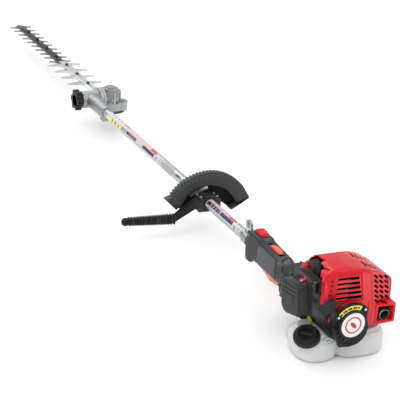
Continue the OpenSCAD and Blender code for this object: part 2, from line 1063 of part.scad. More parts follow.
module lock_knob() {
    color("black")
        difference() {
            union() {
                along_x(-50, -34, 24);
                for (a = [0:60:300])
                    along_x(-50, -34, 7.5, swing_y + 22.5 * cos(a), axis_z + 22.5 * sin(a));
                along_x(-35, -30.4, 12);
                along_x(-31, -17, 5 - run_gap);
            }
            along_x(-51, -46, 14);
        }
    color("silver")
        along_x(-46, -44.5, 6);
}

module case_outline(r) {
    difference() {
        union() {
            translate([crank_x + 4, swing_y])
                circle(r);
            translate([crank_x + 26, swing_y - 8])
                circle(r - 14);
        }
        translate([-100, swing_y - 100])
            square([128.6, 200]);
    }
}

case_bolts = [for (a = [22.5, -22.5, -67.5, -112.5])
    [crank_x + 2 + 34 * cos(a), swing_y + 34 * sin(a)]];
module swing_case() {
    color("silver")
        difference() {
            union() {
                translate([0, 0, 72.6])
                    linear_extrude(height = 8)
                        case_outline(38);
                along_z(80, 112, 28, crank_x + 2, swing_y);
                along_z(111, 118, 22, crank_x, swing_y);
                along_z(117, 123, 13, crank_x, swing_y);
                along_x(28.6, 35, 32);
                along_x(34, 44, 24);
                for (a = [0:45:315])
                    translate([crank_x + 2, swing_y, 80])
                        rotate([0, 0, a])
                            translate([26, -1.5, 0])
                                cube([5, 3, 30]);
                block([crank_x - 22, swing_y + 24, 72.6], [crank_x + 22, swing_y + 55, 84]);
            }
            along_z(76, 107, 24, crank_x, swing_y);
            along_z(70, 77, 7, crank_x, swing_y);
            along_z(106, 117, 5 + run_gap, crank_x, swing_y);
            along_x(28, 36, 4.5 + run_gap);
            block([0, swing_y - 50, 40], [120, swing_y + 60, 72.6]);
            block([0, swing_y - 40, 40], [28.6, swing_y + 40, 140]);
            for (b = case_bolts)
                along_z(70, 82, 2.5, b[0], b[1]);
        }
}

module swing_cover() {
    color("silver")
        difference() {
            union() {
                translate([0, 0, 56])
                    linear_extrude(height = 16.6)
                        case_outline(38);
                block([crank_x - 22, swing_y + 24, 56], [crank_x + 22, swing_y + 55, 65.3]);
            }
            block([crank_x - 18, swing_y - 28.4, 65.3], [crank_x + 18, swing_y + 60, 73]);
            along_z(57, 66, 5 + run_gap, crank_x, swing_y);
            for (b = case_bolts)
                along_z(55, 73, 2.5, b[0], b[1]);
        }
    color("silver")
        for (b = case_bolts)
            union() {
                along_z(58, 81, 2.5, b[0], b[1]);
                along_z(80.6, 84, 4.5, b[0], b[1]);
            }
}

module crank_gear() {
    color("gray")
        union() {
            translate([crank_x, swing_y, axis_z])
                bevel_gear(24, 20, 10, 7.5, 1.4, 1.7);
            along_z(97, 105.6, 8, crank_x, swing_y);
            along_z(58, 116, 5, crank_x, swing_y);
            along_z(lower_z, lower_z + blade_t, ecc_r, crank_x, swing_y - ecc_off);
            along_z(upper_z, upper_z + blade_t, ecc_r, crank_x, swing_y + ecc_off);
        }
}

// One tooth pointing to +X, drawn around y = 0
module tooth(half, root, tip_w) {
    polygon(concat(
        [[0, -root], for (a = [0:15:90])
            [half - (half - core_half) * cos(a), -root + (root - tip_w / 2) * sin(a)]],
        [for (a = [90:-15:0])
            [half - (half - core_half) * cos(a), root - (root - tip_w / 2) * sin(a)]],
        [[0, root]]));
}

module blade_teeth() {
    for (side = [0, 1])
        mirror([side, 0, 0]) {
            for (i = [0:wide_teeth - 1])
                translate([0, wide_y0 + i * wide_pitch])
                    tooth(wide_half, 22, 5);
            for (i = [0:short_teeth - 1])
                translate([0, short_y0 + i * short_pitch])
                    tooth(short_half, 15, 4.5);
        }
}

// Flat outline of a blade: root frame round the eccentric, core, teeth and point
module blade_outline(window_rear, window_front, slot_rear, slot_front) {
    difference() {
        union() {
            translate([-17, swing_y + window_rear - 4])
                square([34, window_front - window_rear + 8]);
            translate([-core_half, swing_y])
                square([2 * core_half, tip_y - 22 - swing_y]);
            translate([0, tip_y - 22])
                polygon([[-core_half, -1], [core_half, -1], [core_half, 0],
                    [3, 22], [-3, 22], [-core_half, 0]]);
            blade_teeth();
        }
        translate([-13.4, swing_y + window_rear])
            square([26.8, window_front - window_rear]);
        for (y = bolt_ys)
            translate([-slot_half_w, y - slot_half_w - slot_rear])
                square([2 * slot_half_w, 2 * slot_half_w + slot_rear + slot_front]);
    }
}

module upper_blade() {
    color("silver")
        translate([crank_x, 0, upper_z])
            linear_extrude(height = blade_t)
                blade_outline(-13.4, 13.4 + blade_stroke, 0, blade_stroke);
}

module lower_blade() {
    color("gray")
        translate([crank_x, 0, lower_z])
            linear_extrude(height = blade_t)
                blade_outline(-13.4 - blade_stroke, 13.4, blade_stroke, 0);
}

module blade_bar() {
    bar_z = upper_z + blade_t + blade_gap;
    color("silver")
        difference() {
            union() {
                block([crank_x - 11, swing_y + 55.2, bar_z], [crank_x + 11, wide_end_y, bar_z + 5]);
                block([crank_x - 7, wide_end_y - 1, bar_z], [crank_x + 7, tip_y - 48, bar_z + 4]);
            }
            for (y = bolt_ys)
                along_z(bar_z - 1, bar_z + 6, 3, crank_x, y);
        }
}

module blade_bolts() {
    bar_z = upper_z + blade_t + blade_gap;
    color("dimgray")
        for (y = bolt_ys)
            union() {
                along_z(lower_z - 4, bar_z + 5, 3, crank_x, y);
                along_z(lower_z - 4, lower_z - 0.2, 6, crank_x, y);
                along_z(bar_z + 5, bar_z + 8, 5, crank_x, y);
            }
}

fuel_tank();
fuel_cap();
fuel_line();
starter_case();
starter_grip();
starter_rope();
starter_reel();
crankcase_front();
crankcase_rear();
crank_bearings();
crankshaft();
flywheel();
fan_housing();
engine_cylinder();
piston();
spark_plug();
plug_cap();
ignition_coil();
muffler();
intake_insulator();
carburetor();
throttle_arm();
primer_bulb();
air_cleaner_base();
air_filter();
air_cleaner_cover();
choke_lever();
engine_cover();
cover_knob();
engine_screws();
clutch_shoes();
clutch_drum();
drum_bearing();
clutch_housing();
drive_tube();
tube_bushes();
drive_shaft();
handle_left();
handle_right();
throttle_trigger();
trigger_lockout();
stop_switch();
throttle_cable();
handle_screws();
harness_bracket();
loop_handle();
loop_clamp();
loop_bolts();
barrier_bar();
angle_housing();
head_bearings();
swing_gear();
lock_knob();
swing_case();
swing_cover();
crank_gear();
upper_blade();
lower_blade();
blade_bar();
blade_bolts();
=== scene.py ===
"""Looks of the pole hedge trimmer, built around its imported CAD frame.

Sizes are in millimetres, in the frame's own axes: +Y runs along the pole to the blades, +X is right, and
z = 0 is the tank's base. MM turns them into Blender's metres.
"""
import json
import math

import bmesh
import bpy
from mathutils import Matrix, Vector


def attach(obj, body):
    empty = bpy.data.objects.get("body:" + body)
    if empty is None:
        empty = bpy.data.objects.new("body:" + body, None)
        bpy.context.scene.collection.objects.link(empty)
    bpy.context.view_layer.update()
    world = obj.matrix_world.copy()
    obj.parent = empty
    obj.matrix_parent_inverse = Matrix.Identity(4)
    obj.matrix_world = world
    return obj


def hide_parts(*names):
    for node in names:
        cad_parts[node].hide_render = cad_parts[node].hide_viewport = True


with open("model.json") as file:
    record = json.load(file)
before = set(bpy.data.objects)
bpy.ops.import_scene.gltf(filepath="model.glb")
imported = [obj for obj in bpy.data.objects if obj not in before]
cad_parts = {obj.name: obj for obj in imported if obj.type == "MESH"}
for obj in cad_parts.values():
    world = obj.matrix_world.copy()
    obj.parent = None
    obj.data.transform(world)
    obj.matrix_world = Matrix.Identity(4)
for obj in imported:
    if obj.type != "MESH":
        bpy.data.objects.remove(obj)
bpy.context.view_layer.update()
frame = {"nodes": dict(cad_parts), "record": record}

MM = 0.001
AXIS_Z = 88.0                # height of the pole and crankshaft axis
TUBE_R = 12.7
SWING_Y = 1370.0
LOOP_Y = 600.0
LOOP_X, LOOP_Z = 5.0, 43.0   # centre of the loop handle's arc
SLOTS = {row["node"]: row["material_slot"] for row in frame["record"]["subparts"]}
BODY_OF = {node: body for body, nodes in frame["record"]["behaviour"]["bodies"].items() for node in nodes}


# ---------------------------------------------------------------- mesh kit

def make(name, verts, faces):
    """A mesh object from corners in millimetres."""
    mesh = bpy.data.meshes.new(name)
    mesh.from_pydata([Vector(v) * MM for v in verts], [], faces)
    obj = bpy.data.objects.new(name, mesh)
    bpy.context.scene.collection.objects.link(obj)
    outward(obj)
    return obj


def outward(obj):
    """Turns every face outwards."""
    bm = bmesh.new()
    bm.from_mesh(obj.data)
    bmesh.ops.recalc_face_normals(bm, faces=bm.faces)
    bm.to_mesh(obj.data)
    bm.free()


def drop(obj):
    bpy.data.objects.remove(obj, do_unlink=True)


def arc(cx, cy, rx, ry, a, b, steps):
    """Points of an ellipse arc from angle a to angle b, in degrees."""
    angles = [math.radians(a + (b - a) * i / steps) for i in range(steps + 1)]
    return [(cx + rx * math.cos(t), cy + ry * math.sin(t)) for t in angles]


def rounded(points, radius, steps=5):
    """The outline with each corner turned into an arc that meets its two sides."""
    out = []
    count = len(points)
    for i, corner in enumerate(points):
        here = Vector(corner)
        before = Vector(points[i - 1]) - here
        after = Vector(points[(i + 1) % count]) - here
        reach = min(radius, before.length * 0.48, after.length * 0.48)
        start = here + before.normalized() * reach
        end = here + after.normalized() * reach
        for k in range(steps + 1):
            t = k / steps
            out.append(tuple(start * (1 - t) ** 2 + here * 2 * t * (1 - t) + end * t ** 2))
    return out


def prism(name, outline, axis, lo, hi):
    """An outline pushed from lo to hi along an axis.

    Along x the outline holds (y, z) points, along y it holds (x, z) and along z it holds (x, y).
    """
    point = {"x": lambda p, t: (t, p[0], p[1]), "y": lambda p, t: (p[0], t, p[1]),
             "z": lambda p, t: (p[0], p[1], t)}[axis]
    n = len(outline)
    verts = [point(p, lo) for p in outline] + [point(p, hi) for p in outline]
    faces = [list(range(n)), list(range(n, 2 * n))]
    faces += [[i, (i + 1) % n, n + (i + 1) % n, n + i] for i in range(n)]
    return make(name, verts, faces)


def brick(name, p0, p1):
    """A box from one corner to the opposite one, for cutting and joining."""
    return prism(name, [(p0[0], p0[1]), (p1[0], p0[1]), (p1[0], p1[1]), (p0[0], p1[1])], "z", p0[2], p1[2])


def aim(origin, direction):
    """Matrix that carries local +Z onto a direction at a point, both in millimetres."""
    turn = Vector(direction).to_track_quat("Z", "Y").to_matrix().to_4x4()
    return Matrix.Translation(Vector(origin) * MM) @ turn


def turned(name, profile, origin, direction, steps=48):
    """A profile of (radius, height) points turned about an axis. Points of radius 0 close the ends."""
    verts, rings = [], []
    for radius, height in profile:
        if radius < 1e-6:
            rings.append([len(verts)] * steps)
            verts.append((0, 0, height))
            continue
        rings.append(list(range(len(verts), len(verts) + steps)))
        angles = [2 * math.pi * k / steps for k in range(steps)]
        verts += [(radius * math.cos(a), radius * math.sin(a), height) for a in angles]
    faces = []
    closed = profile[0][0] > 1e-6 and profile[-1][0] > 1e-6
    pairs = list(zip(rings, rings[1:])) + ([(rings[-1], rings[0])] if closed else [])
    for low, high in pairs:
        for k in range(steps):
            k2 = (k + 1) % steps
            corners = [low[k], low[k2], high[k2], high[k]]
            faces.append([c for i, c in enumerate(corners) if c not in corners[:i]])
    obj = make(name, verts, faces)
    obj.data.transform(aim(origin, direction))
    return obj


def rod(name, radius, length, origin, direction, steps=48):
    """A plain cylinder from a point along a direction."""
    return turned(name, [(0, 0), (radius, 0), (radius, length), (0, length)], origin, direction, steps)


def skin_faces(rings, sides):
    """Faces between neighbouring rings of points, with the first and the last ring closed."""
    faces = []
    for i in range(rings - 1):
        for k in range(sides):
            k2 = (k + 1) % sides
            faces.append([i * sides + k, i * sides + k2, (i + 1) * sides + k2, (i + 1) * sides + k])
    return faces + [list(range(sides)), list(range((rings - 1) * sides, rings * sides))]


def swept(name, points, radius, sides=16):
    """A round bar with flat ends along points, in millimetres."""
    verts = []
    count = len(points)
    line = [Vector(p) for p in points]
    side = None
    for i, p in enumerate(line):
        along = (line[min(i + 1, count - 1)] - line[max(i - 1, 0)]).normalized()
        if side is None:
            side = along.orthogonal().normalized()
        side = (side - along * side.dot(along)).normalized()
        up = along.cross(side)
        verts += [p + radius * (math.cos(a) * side + math.sin(a) * up)
                  for a in (2 * math.pi * k / sides for k in range(sides))]
    return make(name, verts, skin_faces(count, sides))


def settle(obj):
    """Applies the object's modifiers to its mesh."""
    mesh = bpy.data.meshes.new_from_object(obj.evaluated_get(bpy.context.evaluated_depsgraph_get()))
    obj.modifiers.clear()
    old = obj.data
    obj.data = mesh
    bpy.data.meshes.remove(old)
    return obj


def combine(obj, other, operation):
    """Boolean of obj with another object, which is used up."""
    step = obj.modifiers.new("boolean", "BOOLEAN")
    step.operation = operation
    step.solver = "EXACT"
    step.object = other
    settle(obj)
    drop(other)
    return obj


def merge(name, objs):
    """Joins the meshes of several objects into one, without cutting them."""
    bm = bmesh.new()
    for o in objs:
        bm.from_mesh(o.data)
    mesh = bpy.data.meshes.new(name)
    bm.to_mesh(mesh)
    bm.free()
    for o in objs:
        drop(o)
    obj = bpy.data.objects.new(name, mesh)
    bpy.context.scene.collection.objects.link(obj)
    return obj


def cut(obj, *cutters):
    """Takes the cutters out of obj. They may not overlap one another."""
    return combine(obj, merge("cutter", list(cutters)), "DIFFERENCE")


def soften(obj, width, steps=2, angle=32):
    """Rounds the edges that are sharper than an angle, in degrees, by a width in millimetres."""
    step = obj.modifiers.new("bevel", "BEVEL")
    step.width = width * MM
    step.segments = steps
    step.limit_method = "ANGLE"
    step.angle_limit = math.radians(angle)
    step.use_clamp_overlap = True
    return settle(obj)


def smooth(obj, angle=35):
    """Smooth shading, with the edges over an angle kept crisp."""
    obj.data.shade_smooth()
    obj.data.set_sharp_from_angle(angle=math.radians(angle))
    return obj


def tidy_copy(node, name=None):
    """A copy of a CAD node's mesh with its seams joined and its flat faces whole again."""
    obj = bpy.data.objects.new(name or node + "_skin", frame["nodes"][node].data.copy())
    bpy.context.scene.collection.objects.link(obj)
    obj.data.materials.clear()
    bm = bmesh.new()
    bm.from_mesh(obj.data)
    bmesh.ops.remove_doubles(bm, verts=bm.verts, dist=1e-6)
    bmesh.ops.dissolve_limit(bm, angle_limit=math.radians(0.6), verts=bm.verts, edges=bm.edges)
    bm.to_mesh(obj.data)
    bm.free()
    if obj.data.has_custom_normals:
        obj.data.attributes.remove(obj.data.attributes["custom_normal"])
    return obj


def place(obj, material, *nodes, body=None, slot=None, angle=35):
    """Finishes a piece: its material, its body and the CAD nodes it stands for, which it hides. The slot
    argument is not used.
    """
    obj.data.materials.clear()
    obj.data.materials.append(material)
    if obj.type == "MESH":
        smooth(obj, angle)
    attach(obj, body or BODY_OF[nodes[0]])
    if nodes:
        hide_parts(*nodes)
    return obj


# ---------------------------------------------------------------- materials

def surface(name, base, second=None, patch=60.0, rough=(0.4, 0.5), metallic=0.0, coat=0.0, grain=900.0,
            bump=0.15, depth=0.05, stretch=(1, 1, 1), wear=None, **sockets):
    """A procedural finish: two colours in soft patches, uneven roughness, a fine grain and worn edges.

    patch and grain are texture scales per metre, depth the grain's height in millimetres, and stretch draws
    the grain out along an axis, as brushing or drawing does.
    """
    mat = bpy.data.materials.new(name)
    mat.use_nodes = True
    tree = mat.node_tree
    shader = tree.nodes["Principled BSDF"]
    shader.inputs["Metallic"].default_value = metallic
    shader.inputs["Coat Weight"].default_value = coat
    for socket, value in sockets.items():
        shader.inputs[socket.replace("_", " ")].default_value = value
    where = tree.nodes.new("ShaderNodeTexCoord").outputs["Object"]
    drawn = tree.nodes.new("ShaderNodeMapping")
    drawn.inputs["Scale"].default_value = stretch
    tree.links.new(where, drawn.inputs["Vector"])

    def noise(source, scale, detail):
        node = tree.nodes.new("ShaderNodeTexNoise")
        node.inputs["Scale"].default_value = scale
        node.inputs["Detail"].default_value = detail
        tree.links.new(source, node.inputs["Vector"])
        return node.outputs["Fac"]

    def blend_colour(factor, a, b):
        node = tree.nodes.new("ShaderNodeMix")
        node.data_type = "RGBA"
        tree.links.new(factor, node.inputs["Factor"])
        for socket, value in (("A", a), ("B", b)):
            target = [i for i in node.inputs if i.name == socket and i.type == "RGBA"][0]
            if isinstance(value, bpy.types.NodeSocket):
                tree.links.new(value, target)
            else:
                target.default_value = (*value, 1)
        return [o for o in node.outputs if o.type == "RGBA"][0]

    def ranged(source, low, high, start=0.3, end=0.7):
        node = tree.nodes.new("ShaderNodeMapRange")
        for socket, value in (("From Min", start), ("From Max", end), ("To Min", low), ("To Max", high)):
            node.inputs[socket].default_value = value
        tree.links.new(source, node.inputs["Value"])
        return node.outputs["Result"]

    patches = noise(where, patch, 4)
    fine = noise(drawn.outputs["Vector"], grain, 3)
    second = second or tuple(c * 0.82 for c in base)
    colour = blend_colour(ranged(patches, 0, 1), base, second)
    if wear:
        edge = tree.nodes.new("ShaderNodeNewGeometry").outputs["Pointiness"]
        colour = blend_colour(ranged(edge, 0, 0.7, 0.53, 0.6), colour, wear)
    tree.links.new(colour, shader.inputs["Base Color"])
    tree.links.new(ranged(fine, *rough), shader.inputs["Roughness"])
    relief = tree.nodes.new("ShaderNodeBump")
    relief.inputs["Strength"].default_value = bump
    relief.inputs["Distance"].default_value = depth * MM
    tree.links.new(fine, relief.inputs["Height"])
    tree.links.new(relief.outputs["Normal"], shader.inputs["Normal"])
    return mat


BLACK_PLASTIC = surface("black_plastic", (0.005, 0.0055, 0.006), (0.009, 0.0095, 0.010), rough=(0.38, 0.52),
                        grain=1500, bump=0.35, wear=(0.05, 0.052, 0.054), Specular_IOR_Level=0.18)
GREY_PLASTIC = surface("grey_plastic", (0.012, 0.0135, 0.0145), (0.018, 0.0195, 0.0205), rough=(0.38, 0.52),
                       grain=1300, bump=0.4, wear=(0.08, 0.082, 0.085), Specular_IOR_Level=0.25)
GRIP_GREY = surface("grip_grey", (0.056, 0.061, 0.066), (0.045, 0.049, 0.053), rough=(0.42, 0.55),
                    grain=1400, bump=0.4, wear=(0.2, 0.21, 0.22))
HANDLE_DARK = surface("handle_dark", (0.026, 0.029, 0.031), (0.020, 0.022, 0.024), rough=(0.42, 0.55),
                      grain=1400, bump=0.4, wear=(0.12, 0.125, 0.13), Specular_IOR_Level=0.3)
RUBBER = surface("rubber", (0.010, 0.010, 0.011), (0.016, 0.016, 0.017), rough=(0.5, 0.68), grain=1100,
                 bump=0.4, Specular_IOR_Level=0.3)
LOOP_RUBBER = surface("loop_rubber", (0.022, 0.024, 0.026), (0.030, 0.032, 0.034), rough=(0.42, 0.56),
                      grain=1000, bump=0.3, wear=(0.07, 0.072, 0.075), Specular_IOR_Level=0.35)
# Painted shade: a near-black for sheets set where the inside of the cover and of the loop handle lie in
# shade.
PAINTED_SHADE_BLACK = surface("painted_shade_black", (0.003, 0.003, 0.0035), rough=(0.6, 0.75), grain=1000, bump=0.2,
                     Specular_IOR_Level=0.15)
RED = surface("red_plastic", (0.58, 0.004, 0.014), (0.50, 0.003, 0.010), patch=25, rough=(0.3, 0.4),
              coat=0.08, grain=700, bump=0.06, wear=(0.80, 0.06, 0.08), Coat_Roughness=0.08,
              Specular_IOR_Level=0.2)
ORANGE = surface("orange_plastic", (0.80, 0.13, 0.035), (0.7, 0.10, 0.03), rough=(0.32, 0.42), grain=1200,
                 bump=0.2)
SALMON = surface("salmon_plastic", (0.82, 0.24, 0.13), (0.74, 0.20, 0.10), rough=(0.34, 0.44), grain=1200,
                 bump=0.2)
CAST = surface("cast_alloy", (0.25, 0.255, 0.26), (0.19, 0.195, 0.20), rough=(0.38, 0.55), metallic=0.85,
               grain=700, bump=0.5, depth=0.12, wear=(0.75, 0.76, 0.77))
DARK_CAST = surface("dark_cast", (0.045, 0.047, 0.05), (0.03, 0.032, 0.034), rough=(0.42, 0.58),
                    metallic=0.6, grain=700, bump=0.5, depth=0.12, wear=(0.3, 0.305, 0.31))
BRIGHT_CAST = surface("bright_cast", (0.36, 0.37, 0.375), (0.28, 0.29, 0.295), rough=(0.32, 0.48),
                      metallic=0.9, grain=650, bump=0.4, depth=0.1, wear=(0.85, 0.86, 0.87))
STEEL = surface("machined_steel", (0.42, 0.42, 0.43), rough=(0.25, 0.4), metallic=1.0, grain=1500, bump=0.2,
                stretch=(1, 0.1, 1))
TUBE = surface("drawn_tube", (0.45, 0.46, 0.47), (0.39, 0.40, 0.41), patch=18, rough=(0.24, 0.34),
               metallic=0.85, grain=1600, bump=0.12, stretch=(1, 0.04, 1))
ZINC = surface("zinc", (0.60, 0.62, 0.62), (0.50, 0.51, 0.51), rough=(0.2, 0.35), metallic=1.0, grain=900,
               bump=0.15)
# Painted highlight and painted dark reflection: one blade steel as a bright lit copy for the near parts and
# a dark shaded copy for the far parts.
BLADE_PAINTED_HIGHLIGHT = surface("blade_painted_highlight", (0.62, 0.63, 0.64), (0.52, 0.53, 0.54), patch=35, rough=(0.22, 0.36),
                metallic=0.85, grain=2200, bump=0.25, stretch=(1, 0.05, 1), wear=(0.85, 0.86, 0.87))
BLADE_PAINTED_DARK_REFLECTION = surface("blade_painted_dark_reflection", (0.17, 0.175, 0.18), (0.10, 0.102, 0.105), patch=35, rough=(0.25, 0.42),
                     metallic=0.95, grain=2200, bump=0.25, stretch=(1, 0.05, 1), wear=(0.8, 0.8, 0.81))
BAR_STEEL = surface("bar_steel", (0.16, 0.165, 0.17), (0.11, 0.112, 0.115), patch=30, rough=(0.3, 0.45),
                    metallic=0.9, grain=1200, bump=0.3, wear=(0.5, 0.5, 0.51))
BLACK_ALLOY = surface("black_alloy", (0.010, 0.011, 0.012), (0.016, 0.017, 0.018), rough=(0.36, 0.5),
                      grain=800, bump=0.5, depth=0.1, wear=(0.08, 0.082, 0.085), Specular_IOR_Level=0.22)
BRONZE = surface("bush_bronze", (0.42, 0.26, 0.12), rough=(0.35, 0.5), metallic=1.0, grain=1200, bump=0.3)
CERAMIC = surface("ceramic", (0.83, 0.81, 0.76), rough=(0.12, 0.2), coat=0.5, grain=400, bump=0.05)
FOAM = surface("foam", (0.40, 0.34, 0.11), (0.3, 0.25, 0.07), rough=(0.85, 0.95), grain=450, bump=0.9,
               depth=0.8)
ROPE = surface("rope", (0.72, 0.72, 0.68), (0.55, 0.55, 0.52), rough=(0.7, 0.85), grain=2400, bump=0.8,
               depth=0.2)
HOSE = surface("fuel_hose", (0.62, 0.60, 0.03), (0.52, 0.52, 0.03), rough=(0.22, 0.32), grain=500,
               bump=0.05, Transmission_Weight=0.25, Subsurface_Weight=0.2)
TANK = surface("milky_tank", (0.62, 0.635, 0.63), (0.56, 0.575, 0.57), patch=14, rough=(0.26, 0.36),
               grain=500, bump=0.04, Subsurface_Weight=0.2, IOR=1.4)
WHITE = surface("white_skin", (0.80, 0.80, 0.80), (0.75, 0.75, 0.75), rough=(0.25, 0.35), grain=600,
                bump=0.04)
LABEL_FILM = surface("label_film", (0.54, 0.54, 0.57), (0.50, 0.51, 0.53), rough=(0.25, 0.35), grain=600,
                     bump=0.04)
RED_PRINT = surface("red_print", (0.60, 0.02, 0.03), rough=(0.3, 0.4), grain=800, bump=0.03)
PINK_PRINT = surface("pink_print", (0.80, 0.36, 0.36), (0.76, 0.30, 0.31), rough=(0.3, 0.4), grain=800,
                     bump=0.03)
BLUE_PRINT = surface("blue_print", (0.022, 0.022, 0.085), rough=(0.3, 0.4), grain=800, bump=0.03)
YELLOW_PRINT = surface("yellow_print", (0.84, 0.68, 0.06), rough=(0.3, 0.4), grain=800, bump=0.03)
PALE_YELLOW = surface("pale_yellow", (0.78, 0.70, 0.30), rough=(0.3, 0.4), grain=800, bump=0.03)
DARK_PRINT = surface("dark_print", (0.03, 0.03, 0.032), rough=(0.35, 0.45), grain=800, bump=0.03)
GREY_PRINT = surface("grey_print", (0.36, 0.37, 0.375), rough=(0.3, 0.4), grain=800, bump=0.03)


# ---------------------------------------------------------------- engine cover

COVER_LEFT, COVER_RIGHT, COVER_REAR, COVER_FRONT = -60.0, 120.0, -75.0, 52.0
COVER_WALL = 2.6
LOUVRES, LOUVRE_PITCH, LOUVRE_TAPER = 5, 10.6, 2.6
KNOB_YZ = (41.0, 164.0)
# The facet that cuts the cover's rear-right corner: a point on it, and its directions along, up and out
FACET_AT = Vector((54, -75, 116))
FACET_ALONG = Vector((66, 31, 0)).normalized()
FACET_UP = Vector((-18, 0, 108)).normalized()
FACET_OUT = FACET_ALONG.cross(FACET_UP).normalized()
FACET_BASIS = Matrix((FACET_ALONG, FACET_UP, FACET_OUT)).transposed().to_4x4()


def cover_block(w, foot):
    """The cover's outer form, drawn in by w: its front and side outlines meet in one solid."""
    front = ([(COVER_LEFT + w, foot), (COVER_LEFT + w, 190 - w)]
             + arc(-42, 190, 18 - w, 17 - w, 168, 110, 4) + arc(-12, 20, 190 - w, 190 - w, 98, 54, 14)
             + arc(97, 150, 23 - w, 23 - w, 72, 0, 8) + [(COVER_RIGHT - w, foot)])
    side = ([(COVER_REAR + w, foot), (COVER_REAR + w, 194)] + arc(-57, 196, 18 - w, 15 - w, 172, 96, 5)
            + arc(-10, 150, 62 - w, 62 - w, 90, 4, 12) + [(COVER_FRONT - w, foot)])
    body = prism("cover_block", front, "y", -90, 70)
    combine(body, prism("side", side, "x", -90, 140), "INTERSECT")
    beyond = brick("beyond", (-200, -200, 0), (200, 200, 120))
    beyond.data.transform(aim(FACET_AT - FACET_OUT * w, FACET_OUT))
    return combine(body, beyond, "DIFFERENCE")


def slanted(name, centre, size, angle, axis="y"):
    """A box of a given size about a centre, turned about an axis by an angle in degrees."""
    half = [s / 2 for s in size]
    obj = brick(name, [-h for h in half], half)
    obj.data.transform(Matrix.Translation(Vector(centre) * MM)
                       @ Matrix.Rotation(math.radians(angle), 4, axis.upper()))
    return obj


def facet_slot(along, height, size, tilt):
    """A slot cutter across the facet: along it from its rear corner, at a height, tilted to the right."""
    up = (height - FACET_AT.z) / FACET_UP.z
    centre = FACET_AT + FACET_ALONG * along + FACET_UP * up
    w, h = size[0] / 2, size[1] / 2
    obj = prism("slot", rounded([(-w, -h), (w, -h), (w, h), (-w, h)], size[1] * 0.4, 3), "z", -12, 12)
    obj.data.transform(Matrix.Translation(centre * MM) @ FACET_BASIS
                       @ Matrix.Rotation(math.radians(tilt), 4, "Z"))
    return obj


def cover_shell():
    """The hollow cover with its louvre panel, exhaust port and open left and front sides."""
    outer = cover_block(0, 78)
    # The raised panel on the top's left half, whose edge is the crease
    panel = combine(cover_block(-1.5, 120), brick("half", (-61.5, -72, 186), (4, 4, 260)), "INTERSECT")
    combine(outer, panel, "UNION")
    soften(outer, 4, 4, 25)
    shell = combine(outer, cover_block(COVER_WALL, 40), "DIFFERENCE")
    # Louvre panel, set into the rear, and the bezel of the exhaust port
    cut(shell, prism("recess", rounded([(-33, 139), (34, 138), (22, 204), (-32, 206)], 3, 3),
                     "y", -78, -73.7))
    bezel = soften(prism("bezel", [(71, 74), (119, 76), (118, 119), (71, 120)], "y", -71, -40), 1.6, 2)
    combine(shell, bezel, "UNION")
    cut(shell, prism("port", rounded([(76, 79), (113, 81), (113, 114), (76, 115)], 2, 2), "y", -85, -36))
    # Left side open round the plug, the intake and the starter, front open round the fan housing
    cut(shell, brick("left", (-80, -64, 60), (-43, 70, 230)))
    cut(shell, brick("left_low", (-43.1, -64, 60), (-33, 70, 178)))
    cut(shell, brick("left_top", (-43.1, -24, 177), (-33, 70, 230)))
    cut(shell, brick("plug", (-33.1, -64, 60), (-29.6, 34, 178)))
    cut(shell, brick("plug_top", (-33.1, -24, 177), (-29.6, 34, 200)))
    cut(shell, prism("low_left", [(-80, 134), (-46, 140), (-40, 134), (-40, 50), (-80, 50)], "y", -90, -50))
    cut(shell, rod("starter", 41, 45, (0, -90, AXIS_Z), (0, 1, 0)))
    cut(shell, rod("fan", 56, 32, (0, 38, AXIS_Z), (0, 1, 0)))
    cut(shell, brick("bracket", (-26.2, 35, 120), (26.2, 70, 171)))
    tongue = soften(brick("tongue", (-29.6, 35, 154), (-26.4, 51, 175)), 0.8, 2)
    combine(shell, tongue, "UNION")
    cut(shell, rod("stud", 3.6, 20, (-40, *KNOB_YZ), (1, 0, 0)))
    return shell


def vent(shell):
    """The louvres and the holes beside them, the facet's slots, and the slots of the top and right side."""
    louvres = []
    for i in range(LOUVRES):
        up, narrow = i * LOUVRE_PITCH, i * LOUVRE_TAPER
        outline = [(-30, 143.4 + up), (30 - narrow, 143 + up), (29 - narrow, 149.6 + up), (-30, 150 + up)]
        louvres.append(prism("louvre", rounded(outline, 1.2, 2), "y", -80, -70))
    cut(shell, *louvres)
    cut(shell, *[slanted("nick", (-44, -74, 147 + i * 10.4), (4.4, 8, 4.4), 10) for i in range(LOUVRES)])
    cut(shell, *[facet_slot(23 + col * 18.5, 182 - row * 11.4 - col * 6, (19, 5.4), -40)
                 for col in range(3) for row in range(6 - col // 2)])
    cut(shell, *[slanted("vent", (48.5 + i * 11.5, -38, 190), (6.2, 29, 60), -6, "z") for i in range(4)])
    cut(shell, *[slanted("vent", (45 + i * 11, 3, 195), (6, 22, 60), -6, "z") for i in range(4)])
    cut(shell, *[brick("side_slot", (112, -30 + i * 15, 112), (126, -23 + i * 15, 146)) for i in range(5)])
    return shell


def engine_cover():
    shell = soften(vent(cover_shell()), 0.35, 1, 50)
    # Slats that lean behind the louvres, the boss of the rear screw and the rib beside the facet
    slats = [slanted("slat", (-16, -69.5, 142 + i * LOUVRE_PITCH), (27, 6, 1.2), -40, "x")
             for i in range(LOUVRES + 1)]
    boss = soften(brick("boss", (-57, -68, 188), (-37, -47, 204)), 2.2, 3)
    cut(boss, soften(brick("pocket", (-52, -72, 192), (-43, -58, 200)), 0.8, 2))
    rib = soften(brick("rib", (47, -76.6, 80), (54, -73.4, 134)), 1.4, 2)
    piece = merge("cover_shell", [shell, boss, rib] + slats)
    place(piece, RED, "engine_cover")


